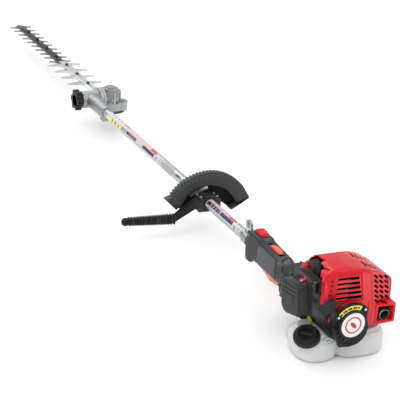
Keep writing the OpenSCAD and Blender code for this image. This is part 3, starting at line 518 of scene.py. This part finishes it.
def cover_shade_sheets():
    """Near-black sheets of painted shade inside the cover, round the exhaust and behind its openings, and
    the rear screw.
    """
    # Painted shade: near-black sheets stand where the inside of the cover lies in shade. They are not parts
    # of the engine.
    port_shade = prism("port_shade_sheet", rounded([(75, 78), (114, 80), (114, 115), (75, 116)], 2, 2),
                   "y", -53, -51)
    cut(port_shade, rod("pipe", 12.4, 6, (96, -55, 92), (0, 1, 0), 40))
    # The plate at the front is painted shade as well, not a heat shield.
    shade_plate = soften(prism("inner_shade_plate", [(36, 96), (116, 96), (116, 150), (98, 172), (36, 186)],
                          "y", 37, 38.5), 0.4, 1)
    louvre_shade = brick("louvre_shade_sheet", (-29.4, -64, 138), (33, -63, 199))
    side = brick("side_shade_sheet", (110.5, -42, 94), (112, 44, 150))
    behind = brick("facet_shade_sheet", (8, 6, -10), (74, 90, -9))
    behind.data.transform(Matrix.Translation(FACET_AT * MM) @ FACET_BASIS)
    combine(behind, cover_block(COVER_WALL + 0.5, 90), "INTERSECT")
    piece = merge("cover_shade_sheets", [port_shade, shade_plate, louvre_shade, side, behind])
    place(piece, PAINTED_SHADE_BLACK, body="frame", slot="black_plastic")
    screw = turned("cover_screw", [(0, 0), (4.2, 0), (4.2, 1.2), (3.2, 2.2), (0, 2.4)], (29, -74.6, 123),
                   (0, -1, 0), 28)
    place(screw, ZINC, body="frame", slot="zinc_screws")


# ---------------------------------------------------------------- tank, cap and starter

CAP_TILT, CAP_TURN = 28.0, 228.0
CAP_SEAT = Vector((-64, -38, 40))


def cap_axis():
    tilt, turn = math.radians(CAP_TILT), math.radians(CAP_TURN)
    return Vector((math.sin(tilt) * math.cos(turn), math.sin(tilt) * math.sin(turn), math.cos(tilt)))


def lobe(p0, p1, corner):
    """One lobe of the tank: a rounded block with a shoulder, before the whole is blended."""
    parts = []
    height = p1[2] - p0[2]
    for inset, low, high in ((5, 0.0, 0.14), (0, 0.1, 0.72), (4, 0.7, 0.86), (11, 0.84, 1.0)):
        outline = rounded([(p0[0] + inset, p0[1] + inset), (p1[0] - inset, p0[1] + inset),
                           (p1[0] - inset, p1[1] - inset), (p0[0] + inset, p1[1] - inset)],
                          corner - inset * 0.5, 9)
        parts.append(prism("slab", outline, "z", p0[2] + low * height, p0[2] + high * height))
    body = parts[0]
    for part in parts[1:]:
        combine(body, part, "UNION")
    return body


def fuel_tank():
    body = lobe((-83, -68, 0), (4, 32, 60), 62)
    combine(body, lobe((-8, -70, 0), (120, 44, 60), 66), "UNION")
    combine(body, lobe((-60, 20, 0), (92, 72, 32), 30), "UNION")
    cut(body, rod("trough", 41.5, 200, (0, -100, AXIS_Z), (0, 1, 0), 64))
    cut(body, rod("recess", 29, 60, CAP_SEAT + cap_axis() * 10.6, cap_axis(), 48))
    remesh = body.modifiers.new("remesh", "REMESH")
    remesh.mode = "VOXEL"
    remesh.voxel_size = 2.0 * MM
    ease = body.modifiers.new("ease", "SMOOTH")
    ease.factor = 0.6
    ease.iterations = 14
    settle(body)
    neck = turned("neck", [(16, -14), (20, -14), (20, 20), (16, 20)], CAP_SEAT, cap_axis())
    loop = swept("loop", [(-31 + 8 * math.cos(t), -67, 52 + 4 * math.sin(t))
                          for t in (2 * math.pi * k / 24 for k in range(25))], 1.5, 8)
    piece = merge("tank_blow_moulding", [body, neck, loop])
    place(piece, TANK, "fuel_tank", angle=60)


def fuel_cap():
    """The cap's ribbed skirt, and the bar across its hollow top."""
    base = CAP_SEAT + cap_axis() * 11.2
    skirt = turned("skirt", [(20.4, 0), (26.4, 0), (26.4, 10), (25.4, 12.2), (23.4, 12.8), (22.8, 14.4),
                             (20.6, 16), (15.5, 16), (14.6, 14.6), (0, 14.6), (0, 9), (20.4, 9)],
                   base, cap_axis(), 72)
    ribs = []
    for k in range(30):
        rib = soften(brick("rib", (25.6, -1.4, 0.8), (27.8, 1.4, 10.6)), 0.5, 2)
        rib.data.transform(aim(base, cap_axis()) @ Matrix.Rotation(math.radians(k * 12), 4, "Z"))
        ribs.append(rib)
    bar = soften(brick("bar", (-12.5, -3, 13), (12.5, 3, 17)), 1.4, 3)
    bar.data.transform(aim(base, cap_axis()))
    place(merge("fuel_cap_moulding", [skirt, bar] + ribs), BLACK_PLASTIC, "fuel_cap")


BADGE_X, BADGE_Z = -3.0, 102.0


def disc_sector(name, inner, outer, start, end, front, thick, steps=40):
    """A flat ring sector about the badge's centre, facing the rear, with its face at y = front."""
    ring = (arc(BADGE_X, BADGE_Z, outer, outer, start, end, steps)
            + arc(BADGE_X, BADGE_Z, inner, inner, end, start, steps))
    return prism(name, ring, "y", front, front + thick)


def starter_case():
    case = soften(tidy_copy("starter_case", "case"), 0.7, 2, 40)
    rim = turned("rim", [(26.8, 0), (31.6, 0), (31.4, 1.6), (30.4, 2.6), (28.6, 2.6), (27.2, 1.8)],
                 (BADGE_X, -105.4, BADGE_Z), (0, -1, 0), 72)
    ribs = []
    for angle in (196, 214, 232, 250):
        rib = soften(brick("rib", (32, -1.1, 0), (40, 1.1, 3)), 0.5, 2)
        turn = Matrix.Rotation(math.radians(-angle), 4, "Y") @ Matrix.Rotation(math.radians(90), 4, "X")
        rib.data.transform(Matrix.Translation(Vector((BADGE_X, -99.8, BADGE_Z)) * MM) @ turn)
        ribs.append(rib)
    place(merge("starter_cover", [case, rim] + ribs), BLACK_PLASTIC, "starter_case")


def starter_labels():
    """A plain white disc with a generic leaf in a ring, and the yellow arc above it."""
    white = turned("badge_white", [(0, 0), (27, 0), (27, 0.5), (26.6, 0.8), (0, 0.8)],
                   (BADGE_X, -105.9, BADGE_Z), (0, -1, 0), 72)
    place(white, WHITE, body="frame", slot="white_plastic")
    ring = disc_sector("badge_ring", 15.5, 18.5, 0, 360, -107.0, 0.4, 64)
    leaf = (arc(BADGE_X - 7, BADGE_Z - 8, 15, 15, 5, 85, 12)
            + arc(BADGE_X + 8, BADGE_Z + 7, 15, 15, 185, 265, 12))
    blade = prism("badge_leaf", leaf, "y", -107.0, -106.6)
    place(merge("badge_mark", [ring, blade]), RED_PRINT, body="frame", slot="red_plastic")
    place(disc_sector("arc_label", 32.4, 42.2, 64, 143, -103.5, 0.6), YELLOW_PRINT, body="frame",
          slot="fuel_hose")
    marks = [disc_sector("mark", 34.8, 39.6, a, a + 5 + 3 * (a % 2), -103.7, 0.3, 4)
             for a in range(72, 136, 9)]
    place(merge("arc_label_marks", marks), DARK_PRINT, body="frame", slot="black_plastic")


GRIP_TURN = -35.0
ROPE_X, GRIP_Z = -16.0, 63.5   # the rope's place and the grip's distance, from the reel's axis


def starter_grip():
    """The T-shaped grip, built upright and then turned to the rope's direction."""
    outline = [(-20, 9), (-18, 7), (-7, 6.4), (-6, 0), (6, 0), (7, 6.4), (18, 7), (20, 9), (20, 18),
               (17, 22), (-17, 22), (-20, 18)]
    grip = soften(prism("grip", rounded(outline, 3, 3), "y", -8, 8), 3, 4, 50)
    cut(grip, *[brick("groove", (x, -9, 13), (x + 1.6, 9, 14.6)) for x in (-15, 13.4)])
    turn = Matrix.Rotation(math.radians(GRIP_TURN), 4, "Y")
    grip.data.transform(Matrix.Translation(Vector((0, -92, AXIS_Z)) * MM) @ turn
                        @ Matrix.Translation(Vector((ROPE_X, 0, GRIP_Z)) * MM))
    place(grip, RUBBER, "starter_grip")


# ---------------------------------------------------------------- air cleaner

BOX_TILT = -14.0
BOX_CENTRE = Vector((0, -10, 132))


def air_cleaner():
    """The box, built upright about its centre and then tilted. The outlines hold (y, z) points."""
    outline = rounded([(-43, -26), (-32, -37), (22, -37), (36, -24), (36, 27), (27, 36), (-34, 36),
                       (-43, 28)], 9, 6)
    inside = rounded([(-38, -23), (-29, -32), (20, -32), (31, -22), (31, 24), (24, 31), (-31, 31),
                      (-38, 25)], 6, 4)
    body = soften(prism("box", outline, "x", -102, -74.3), 7, 5, 50)
    combine(body, prism("hollow", inside, "x", -98.5, -70), "DIFFERENCE")
    cut(body, prism("hole", rounded([(26, -25), (32, -25), (32, -11), (26, -11)], 2.9, 5), "x", -104, -90),
        rod("pin_hole", 2.55, 12, (-84, -26, 29), (0, 0, 1), 24))
    cut(body, *[slanted("groove", (-102.3, -4, 8 + i * 9), (3, 62, 1.8), 6, "x") for i in range(3)])
    boss = soften(prism("boss", rounded([(-20, -14), (6, -14), (6, 4), (-20, 4)], 6, 4), "x", -103, -101),
                  0.8, 2)
    rear = soften(prism("rear_pad", rounded([(-97, -20), (-80, -20), (-80, 18), (-97, 18)], 5, 4),
                        "y", -44.6, -42), 1, 2)
    lip = prism("lip", rounded([(-44, -27), (-33, -38), (23, -38), (37, -25), (37, 28), (28, 37), (-35, 37),
                                (-44, 29)], 9, 6), "x", -78, -74.3)
    combine(lip, prism("inside", inside, "x", -80, -70), "DIFFERENCE")
    soften(lip, 0.8, 2)
    tilted = Matrix.Translation(BOX_CENTRE * MM) @ Matrix.Rotation(math.radians(BOX_TILT), 4, "X")
    piece = merge("air_cleaner_box", [body, boss, rear, lip])
    piece.data.transform(tilted)
    place(piece, GREY_PLASTIC, "air_cleaner_cover")
    # Painted highlight: a thin bright strip stands for a line of light beside the box.
    highlight_strip = soften(brick("painted_highlight_strip", (-66, -43.4, 172), (-46.5, -41.8, 175.6)), 0.4, 1)
    place(highlight_strip, ZINC, body="frame", slot="zinc_screws")
    screw = turned("choke_screw", [(0, 0), (2.6, 0), (2.6, 1.2), (1.8, 1.8), (0, 1.8)], (-90, -34, 37.6),
                   (0, 0, 1), 20)
    screw.data.transform(tilted)
    place(screw, ZINC, body="frame", slot="zinc_screws")


# ---------------------------------------------------------------- throttle handle

def handle_outline():
    return ([(176, 68), (176, 106), (186, 112), (215, 115), (250, 117), (276, 120), (282, 124), (326, 124)]
            + arc(326, 112, 14, 12, 80, 0, 5) + [(346, 84), (343, 62)] + arc(333, 60, 10, 10, -10, -90, 5)
            + [(322, 50), (318, 57), (304, 62), (240, 63), (200, 60), (184, 62)])


HANDLE_SCREWS = ((188, 69), (188, 106), (334, 60), (332, 112))


def handle_half(side, name):
    """One shell of the handle. side is -1 for the left and 1 for the right."""
    near, far = 0.05 * side, 20 * side
    shell = prism(name, handle_outline(), "x", min(near, far), max(near, far))
    bm = bmesh.new()
    bm.from_mesh(shell.data)
    edges = [e for e in bm.edges if all(abs(v.co.x) > 0.01 for v in e.verts)]
    bmesh.ops.bevel(bm, geom=edges, offset=7 * MM, segments=5, affect="EDGES", profile=0.5,
                    clamp_overlap=True)
    bm.to_mesh(shell.data)
    bm.free()
    cut(shell, rod("bore", TUBE_R, 180, (0, 170, AXIS_Z), (0, 1, 0), 64))
    cut(shell, brick("trigger", (-6.2, 198, 40), (6.2, 326, 75.2)))
    cut(shell, brick("lockout", (-6.2, 206, 100.8), (6.2, 266, 130)))
    cut(shell, brick("switch", (-4.4, 286, 112), (4.4, 318, 130)))
    for y, z in HANDLE_SCREWS:
        cut(shell, turned("screw", [(0, 0), (4.4, 0), (4.4, 12), (2.3, 12), (2.3, 40), (0, 40)],
                          (-28, y, z), (1, 0, 0), 20))
    return shell


def handle():
    """The two shells, each with a paler panel on its side."""
    for side, node in ((-1, "handle_left"), (1, "handle_right")):
        place(handle_half(side, node + "_shell"), HANDLE_DARK, node, angle=28)
        outline = rounded([(196, 66), (196, 108), (270, 112), (282, 106), (282, 72), (272, 66)], 9, 5)
        near, far = 16 * side, 21.8 * side
        pad = soften(prism("pad", outline, "x", min(near, far), max(near, far)), 2, 3)
        pad.name = node + "_pad"
        place(pad, GRIP_GREY, body=BODY_OF[node], slot=SLOTS[node])


# ---------------------------------------------------------------- loop handle

def hoop():
    """The hoop of the loop handle, with a rounded square section."""
    steps, sides = 63, 20
    verts = []
    for i in range(steps + 1):
        turn = math.radians(25 + 123 * i / steps)
        out = Vector((math.cos(turn), 0, math.sin(turn)))
        middle = Vector((LOOP_X + 98.5 * out.x, LOOP_Y, LOOP_Z + 100 * out.z))
        for k in range(sides):
            a = 2 * math.pi * k / sides
            flat, deep = [math.copysign(abs(v) ** 0.75, v) for v in (math.cos(a), math.sin(a))]
            verts.append(middle + out * 17.5 * flat + Vector((0, 15 * deep, 0)))
    return make("hoop", verts, skin_faces(steps + 1, sides))


def loop_moulding():
    """The ribbed hoop with its two cut ends."""
    rear = LOOP_Y - 15
    right = soften(prism("right_end", [(113, 87), (66, 60), (62, 65), (90, 78), (84, 88), (109, 98)],
                         "y", rear, LOOP_Y + 6), 2.5, 3, 40)
    left = soften(prism("left_end", [(-110, 103), (-80, 74), (-74, 80), (-66, 88), (-92, 109)],
                        "y", rear, LOOP_Y + 6), 3, 3, 40)
    ribs = []
    for i in range(27):
        angle = math.radians(30 + i * 4.4)
        rib = soften(brick("rib", (-2.6, LOOP_Y - 10, -3), (2.6, LOOP_Y + 10, 0.9)), 0.9, 3)
        at = Vector((LOOP_X + 116 * math.cos(angle), 0, LOOP_Z + 117.4 * math.sin(angle)))
        rib.data.transform(Matrix.Translation(at * MM) @ Matrix.Rotation(math.pi / 2 - angle, 4, "Y"))
        ribs.append(rib)
    place(merge("loop_moulding", [hoop(), right, left] + ribs), LOOP_RUBBER, "loop_handle", angle=50)


def loop_inside():
    """The web, a near-black sheet of painted shade inside the hoop, the pad on the clamp and the bright
    plate.
    """
    front = LOOP_Y + 15
    # Painted shade: a near-black sheet fills the hoop where its inside lies in shade.
    shade_web = prism("shade_web", arc(LOOP_X, LOOP_Z, 82, 86, 151, 29, 28)
                + [(94, 76), (66, 62.5), (32, 88), (26, 90), (-26, 88), (-62, 70), (-79, 75)],
                "y", LOOP_Y + 3, LOOP_Y + 6.5)
    cut(shade_web, brick("clamp", (-28.2, LOOP_Y, 60), (28.2, front, 98.2)))
    cut(shade_web, brick("hump", (-12.2, LOOP_Y, 97), (12.2, front, 104.2)))
    place(shade_web, PAINTED_SHADE_BLACK, body="frame", slot="black_plastic")
    pad = soften(brick("pad", (-26, LOOP_Y - 28, 98.2), (26, front - 2, 102)), 1.2, 2)
    hump = soften(brick("pad_hump", (-15, LOOP_Y - 28, 98.2), (15, front - 2, 109)), 2, 3)
    combine(pad, hump, "UNION")
    cut(pad, brick("saddle", (-12.2, LOOP_Y - 40, 90), (12.2, front + 3, 104.2)))
    place(pad, BLACK_ALLOY, body="frame", slot=SLOTS["loop_handle"])
    plate = soften(prism("loop_plate", [(-42, 106), (-38, 98.5), (5, 117), (2, 126)],
                         "y", LOOP_Y - 1, LOOP_Y + 2), 0.4, 1)
    place(plate, ZINC, body="frame", slot="zinc_screws")


# ---------------------------------------------------------------- labels on the pole

def wrap(name, y0, y1, start, end, lift, material, slot):
    """A thin label round the tube from y0 to y1 and between two angles, seen from the rear, 90 being up."""
    inner = TUBE_R + lift
    outer = inner + 0.12
    ring = arc(0, AXIS_Z, outer, outer, start, end, 24) + arc(0, AXIS_Z, inner, inner, end, start, 24)
    return place(prism(name, ring, "y", y0, y1), material, body="frame", slot=slot)


def blocks(name, y0, y1, start, end, pitch, fill, lift, material, slot):
    """A row of short blocks along a label, which stand for its small print."""
    radius = TUBE_R + lift
    rows = []
    count = int((y1 - y0) / pitch)
    for i in range(count):
        length = pitch * fill * (0.7 + 0.3 * math.sin(i * 2.4) ** 2)
        ring = (arc(0, AXIS_Z, radius + 0.1, radius + 0.1, start, end, 6)
                + arc(0, AXIS_Z, radius, radius, end, start, 6))
        rows.append(prism("block", ring, "y", y0 + i * pitch, y0 + i * pitch + length))
    return place(merge(name, rows), material, body="frame", slot=slot)


def pole_labels():
    # Warning label near the head: yellow with dark blocks below, white with grey blocks above
    wrap("hazard_label", 1104, 1216, 139, 200, 0.1, PALE_YELLOW, "fuel_hose")
    blocks("hazard_marks", 1106, 1214, 150, 184, 22, 0.3, 0.3, DARK_PRINT, "black_plastic")
    wrap("notice_label", 1104, 1216, 58, 136, 0.1, LABEL_FILM, "white_plastic")
    blocks("notice_marks", 1108, 1212, 88, 104, 20, 0.5, 0.3, GREY_PRINT, "tube_alloy")
    # The two long labels: a red stripe above a blue one, each in a plain part and a part of small blocks
    for tag, y0, y1, red, blue in (("front", 886, 1074, (88, 128), (136, 170)),
                                   ("rear", 428, 566, (86, 108), (114, 154))):
        wrap(tag + "_label", y0 - 8, y1 + 4, 66, 186, 0.1, LABEL_FILM, "white_plastic")
        wrap(tag + "_pink_band", y0 + 6, y1 - 2, *red, 0.3, PINK_PRINT, "red_plastic")
        wrap(tag + "_red_end", y0, y0 + 34, *red, 0.4, RED_PRINT, "red_plastic")
        blocks(tag + "_pink_marks", y0 + 40, y1 - 4, red[0] + 6, red[1] - 6, 15, 0.5, 0.5, LABEL_FILM,
               "white_plastic")
        wrap(tag + "_blue_band", y0 + 4, y0 + 40 + (y1 - y0) // 5, *blue, 0.3, BLUE_PRINT, "black_plastic")
        wrap(tag + "_blue_end", y1 - 66, y1, *blue, 0.3, BLUE_PRINT, "black_plastic")
        blocks(tag + "_blue_marks", y1 - 62, y1 - 4, blue[0] + 8, blue[1] - 6, 13, 0.5, 0.5, GREY_PRINT,
               "tube_alloy")
        blocks(tag + "_small_marks", y0 + 6, y1 - 4, 172, 182, 9, 0.6, 0.3, GREY_PRINT, "tube_alloy")
    for tag, y0, y1 in (("front", 838, 868), ("rear", 386, 414)):
        wrap(tag + "_icons", y0, y1, 96, 184, 0.1, LABEL_FILM, "white_plastic")
        blocks(tag + "_icon_marks", y0 + 2, y1, 108, 168, 10, 0.4, 0.3, GREY_PRINT, "tube_alloy")
    wrap("grey_band", 772, 832, 70, 206, 0.1, GREY_PRINT, "tube_alloy")
    wrap("front_dark_mark", 728, 750, 131, 149, 0.1, DARK_PRINT, "black_plastic")
    wrap("rear_dark_mark", 379, 384, 126, 148, 0.1, DARK_PRINT, "black_plastic")


# ---------------------------------------------------------------- cords

CABLE_ROUTE = [(-15, 179, 116), (-16, 170, 124), (-18, 158, 132), (-22, 144, 140), (-28, 128, 148),
               (-35, 110, 154), (-43, 92, 157), (-50, 74, 157), (-54, 56, 157), (-57, 40, 159),
               (-58, 28, 163), (-57.5, 19, 167)]
HOSE_ROUTE = [(-48, -20, 60.1), (-48, -20, 65), (-49, -21.5, 73), (-52.5, -21, 81), (-56, -16, 88),
              (-57, -11, 93), (-57, -9, 97), (-57, -9, 100.9)]


def cord_piece(name, route, diameter, material, node):
    """A cord as a curve along its route."""
    curve = bpy.data.curves.new(name, "CURVE")
    curve.dimensions = "3D"
    curve.bevel_depth = diameter / 2 * MM
    curve.bevel_resolution = 5
    curve.use_fill_caps = True
    line = curve.splines.new("POLY")
    points = smooth_route([Vector(p) for p in route], 5)
    line.points.add(len(points) - 1)
    for point, at in zip(line.points, points):
        point.co = (*(at * MM), 1)
    obj = bpy.data.objects.new(name, curve)
    bpy.context.scene.collection.objects.link(obj)
    place(obj, material, node)


def smooth_route(points, steps):
    """Points of a smooth curve through a route, with some steps between each pair."""
    out = []
    last = len(points) - 1
    for i in range(last):
        before, a, b, after = points[max(i - 1, 0)], points[i], points[i + 1], points[min(i + 2, last)]
        for k in range(steps):
            t = k / steps
            out.append(0.5 * (2 * a + (b - before) * t + (2 * before - 5 * a + 4 * b - after) * t ** 2
                              + (3 * a - before - 3 * b + after) * t ** 3))
    return out + [points[-1]]


# ---------------------------------------------------------------- carried CAD pieces

CARRIED = [
    # nodes, material, edge rounding in mm
    (("crankcase_front", "crankcase_rear", "fan_housing"), DARK_CAST, 0.8),
    (("engine_cylinder",), DARK_CAST, 0.4),
    (("flywheel", "piston"), CAST, 0.3),
    (("carburetor",), BRIGHT_CAST, 0.8),
    (("crank_bearings", "drum_bearing", "head_bearings", "throttle_arm"), STEEL, 0.3),
    (("crankshaft", "clutch_drum", "drive_shaft", "clutch_shoes"), STEEL, 0.4),
    (("swing_gear", "crank_gear"), STEEL, 0),
    (("muffler",), BAR_STEEL, 1.2),
    (("starter_reel",), WHITE, 0.4),
    (("starter_rope",), ROPE, 0),
    (("spark_plug",), CERAMIC, 0.3),
    (("plug_cap", "primer_bulb"), RUBBER, 1.0),
    (("ignition_coil", "intake_insulator"), BLACK_PLASTIC, 0.6),
    (("air_cleaner_base",), BLACK_PLASTIC, 0.7),
    (("air_filter",), FOAM, 0),
    (("choke_lever",), RED, 0.5),
    (("cover_knob",), RED, 1.0),
    (("engine_screws", "loop_bolts"), ZINC, 0.5),
    (("handle_screws",), BAR_STEEL, 0.5),
    (("harness_bracket",), BRIGHT_CAST, 0.6),
    (("clutch_housing",), BLACK_ALLOY, 0.8),
    (("drive_tube",), TUBE, 0),
    (("tube_bushes",), BRONZE, 0),
    (("throttle_trigger",), SALMON, 1.6),
    (("trigger_lockout",), ORANGE, 1.2),
    (("stop_switch",), RED, 0.8),
    (("loop_clamp",), BLACK_ALLOY, 1.5),
    (("barrier_bar",), BLACK_PLASTIC, 1.2),
    (("angle_housing", "swing_case", "swing_cover"), BRIGHT_CAST, 1.0),
    (("lock_knob",), BLACK_PLASTIC, 1.5),
    (("blade_bolts",), BLACK_ALLOY, 0.5),
]


WIDE_END_Y = SWING_Y + 400   # just beyond the last wide tooth
BLADE_X = 58.0
TIP_FROM = 19.0              # half the width of the dark middle of a blade


def far_tips(node):
    """The far teeth's bright tips: what is left of a blade outside its middle, past the wide teeth."""
    obj = tidy_copy(node, node + "_tips")
    cut(obj, brick("near", (-500, 0, -200), (500, WIDE_END_Y, 400)))
    cut(obj, brick("middle", (BLADE_X - TIP_FROM, 0, -200), (BLADE_X + TIP_FROM, 3000, 400)))
    place(obj, STEEL, body=BODY_OF[node], slot=SLOTS[node])


def cut_in_two(node, near_highlight_material, far_dark_reflection_material, edge):
    """A carried piece in two tones of one steel, which meet just beyond the last wide tooth: the near part
    in a painted highlight, the far part in painted dark reflection.

    The far half of a blade also gives up its tooth tips, which are bright pieces of their own.
    """
    for part, low, high, material in (("near", WIDE_END_Y, 3000, near_highlight_material),
                                      ("far", 0, WIDE_END_Y, far_dark_reflection_material)):
        obj = tidy_copy(node, node + "_" + part)
        cut(obj, brick("rest", (-500, low, -200), (500, high, 400)))
        if part == "far" and node != "blade_bar":
            cut(obj, brick("left_tips", (-500, 0, -200), (BLADE_X - TIP_FROM, 3000, 400)),
                brick("right_tips", (BLADE_X + TIP_FROM, 0, -200), (500, 3000, 400)))
            far_tips(node)
        soften(obj, edge, 2, 35)
        if part == "near":
            place(obj, material, node)
        else:
            place(obj, material, body=BODY_OF[node], slot=SLOTS[node])


def skid_rim():
    """The black rim of the skid plate, which shows under the swing cover."""
    rim = turned("skid_rim", [(30, 52), (40, 52), (41, 53), (41, 56.6), (40, 57.5), (30, 57.5)],
                 (62, SWING_Y, 0), (0, 0, 1), 72)
    cut(rim, brick("rest", (0, SWING_Y - 60, 40), (28.6, SWING_Y + 60, 70)))
    place(rim, BLACK_ALLOY, body=BODY_OF["swing_cover"], slot="black_plastic")


def carried_pieces():
    """The CAD nodes that keep their own shape, with rounded edges and a finish."""
    for nodes, material, edge in CARRIED:
        for node in nodes:
            obj = tidy_copy(node)
            if edge:
                soften(obj, edge, 2, 35)
            place(obj, material, node)


# ---------------------------------------------------------------- stage

def stage():
    floor = brick("floor", (-40000, -40000, -20), (40000, 40000, -0.2))
    floor.data.materials.append(surface("floor_paint", (0.93, 0.93, 0.93), (0.92, 0.92, 0.92), patch=1,
                                        rough=(0.7, 0.8), grain=40, bump=0.01))
    world = bpy.data.worlds.new("studio")
    bpy.context.scene.world = world
    world.use_nodes = True
    # A studio that is bright overhead and dimmer towards the horizon
    tree = world.node_tree
    split = tree.nodes.new("ShaderNodeSeparateXYZ")
    tree.links.new(tree.nodes.new("ShaderNodeTexCoord").outputs["Generated"], split.inputs["Vector"])
    height = tree.nodes.new("ShaderNodeMapRange")
    for socket, value in (("From Min", 0.0), ("From Max", 0.75), ("To Min", 0.6), ("To Max", 1.15)):
        height.inputs[socket].default_value = value
    tree.links.new(split.outputs["Z"], height.inputs["Value"])
    tree.nodes["Background"].inputs["Color"].default_value = (1, 1, 1, 1)
    tree.links.new(height.outputs["Result"], tree.nodes["Background"].inputs["Strength"])
    for name, at, target, size, power in (
            ("key", (-2.2, -1.6, 3.2), (0, 0.4, 0.1), 2.2, 46),
            ("fill", (2.6, -0.6, 2.2), (0, 0.5, 0.1), 2.5, 20),
            ("back", (-0.5, 3.6, 2.6), (0, 0.9, 0.1), 2.5, 26)):
        lamp = bpy.data.lights.new(name, "AREA")
        lamp.size = size
        lamp.energy = power
        obj = bpy.data.objects.new(name, lamp)
        obj.location = at
        obj.rotation_euler = (Vector(target) - Vector(at)).to_track_quat("-Z", "Y").to_euler()
        bpy.context.scene.collection.objects.link(obj)


def camera():
    """The photograph's viewpoint: behind and above the engine, looking along the pole."""
    data = bpy.data.cameras.new("camera")
    data.lens = 130.7
    data.sensor_width = 36
    data.clip_end = 100
    obj = bpy.data.objects.new("camera", data)
    right = Vector((0.90506, -0.41778, 0.07957)).normalized()
    back = Vector((-0.41556, -0.82891, 0.37445))
    back = (back - right * back.dot(right)).normalized()
    turn = Matrix((right, back.cross(right), back)).transposed()
    obj.matrix_world = Matrix.Translation((-1.4598, -2.2854, 1.3922)) @ turn.to_4x4()
    bpy.context.scene.collection.objects.link(obj)
    bpy.context.scene.camera = obj
    bpy.context.scene.view_settings.view_transform = "Standard"


camera()
cord_piece("throttle_cable_cord", CABLE_ROUTE, 5.2, RUBBER, "throttle_cable")
cord_piece("fuel_hose_cord", HOSE_ROUTE, 6.0, HOSE, "fuel_line")
engine_cover()
cover_shade_sheets()
fuel_tank()
fuel_cap()
starter_case()
starter_labels()
starter_grip()
air_cleaner()
handle()
loop_moulding()
loop_inside()
pole_labels()
carried_pieces()
skid_rim()
# Near parts of the blades and bar in a painted highlight, far parts in painted dark reflection.
cut_in_two("upper_blade", BLADE_PAINTED_HIGHLIGHT, BLADE_PAINTED_DARK_REFLECTION, 0.5)
cut_in_two("lower_blade", BLADE_PAINTED_HIGHLIGHT, BLADE_PAINTED_DARK_REFLECTION, 0.5)
cut_in_two("blade_bar", BLADE_PAINTED_HIGHLIGHT, BLACK_ALLOY, 0.8)
stage()
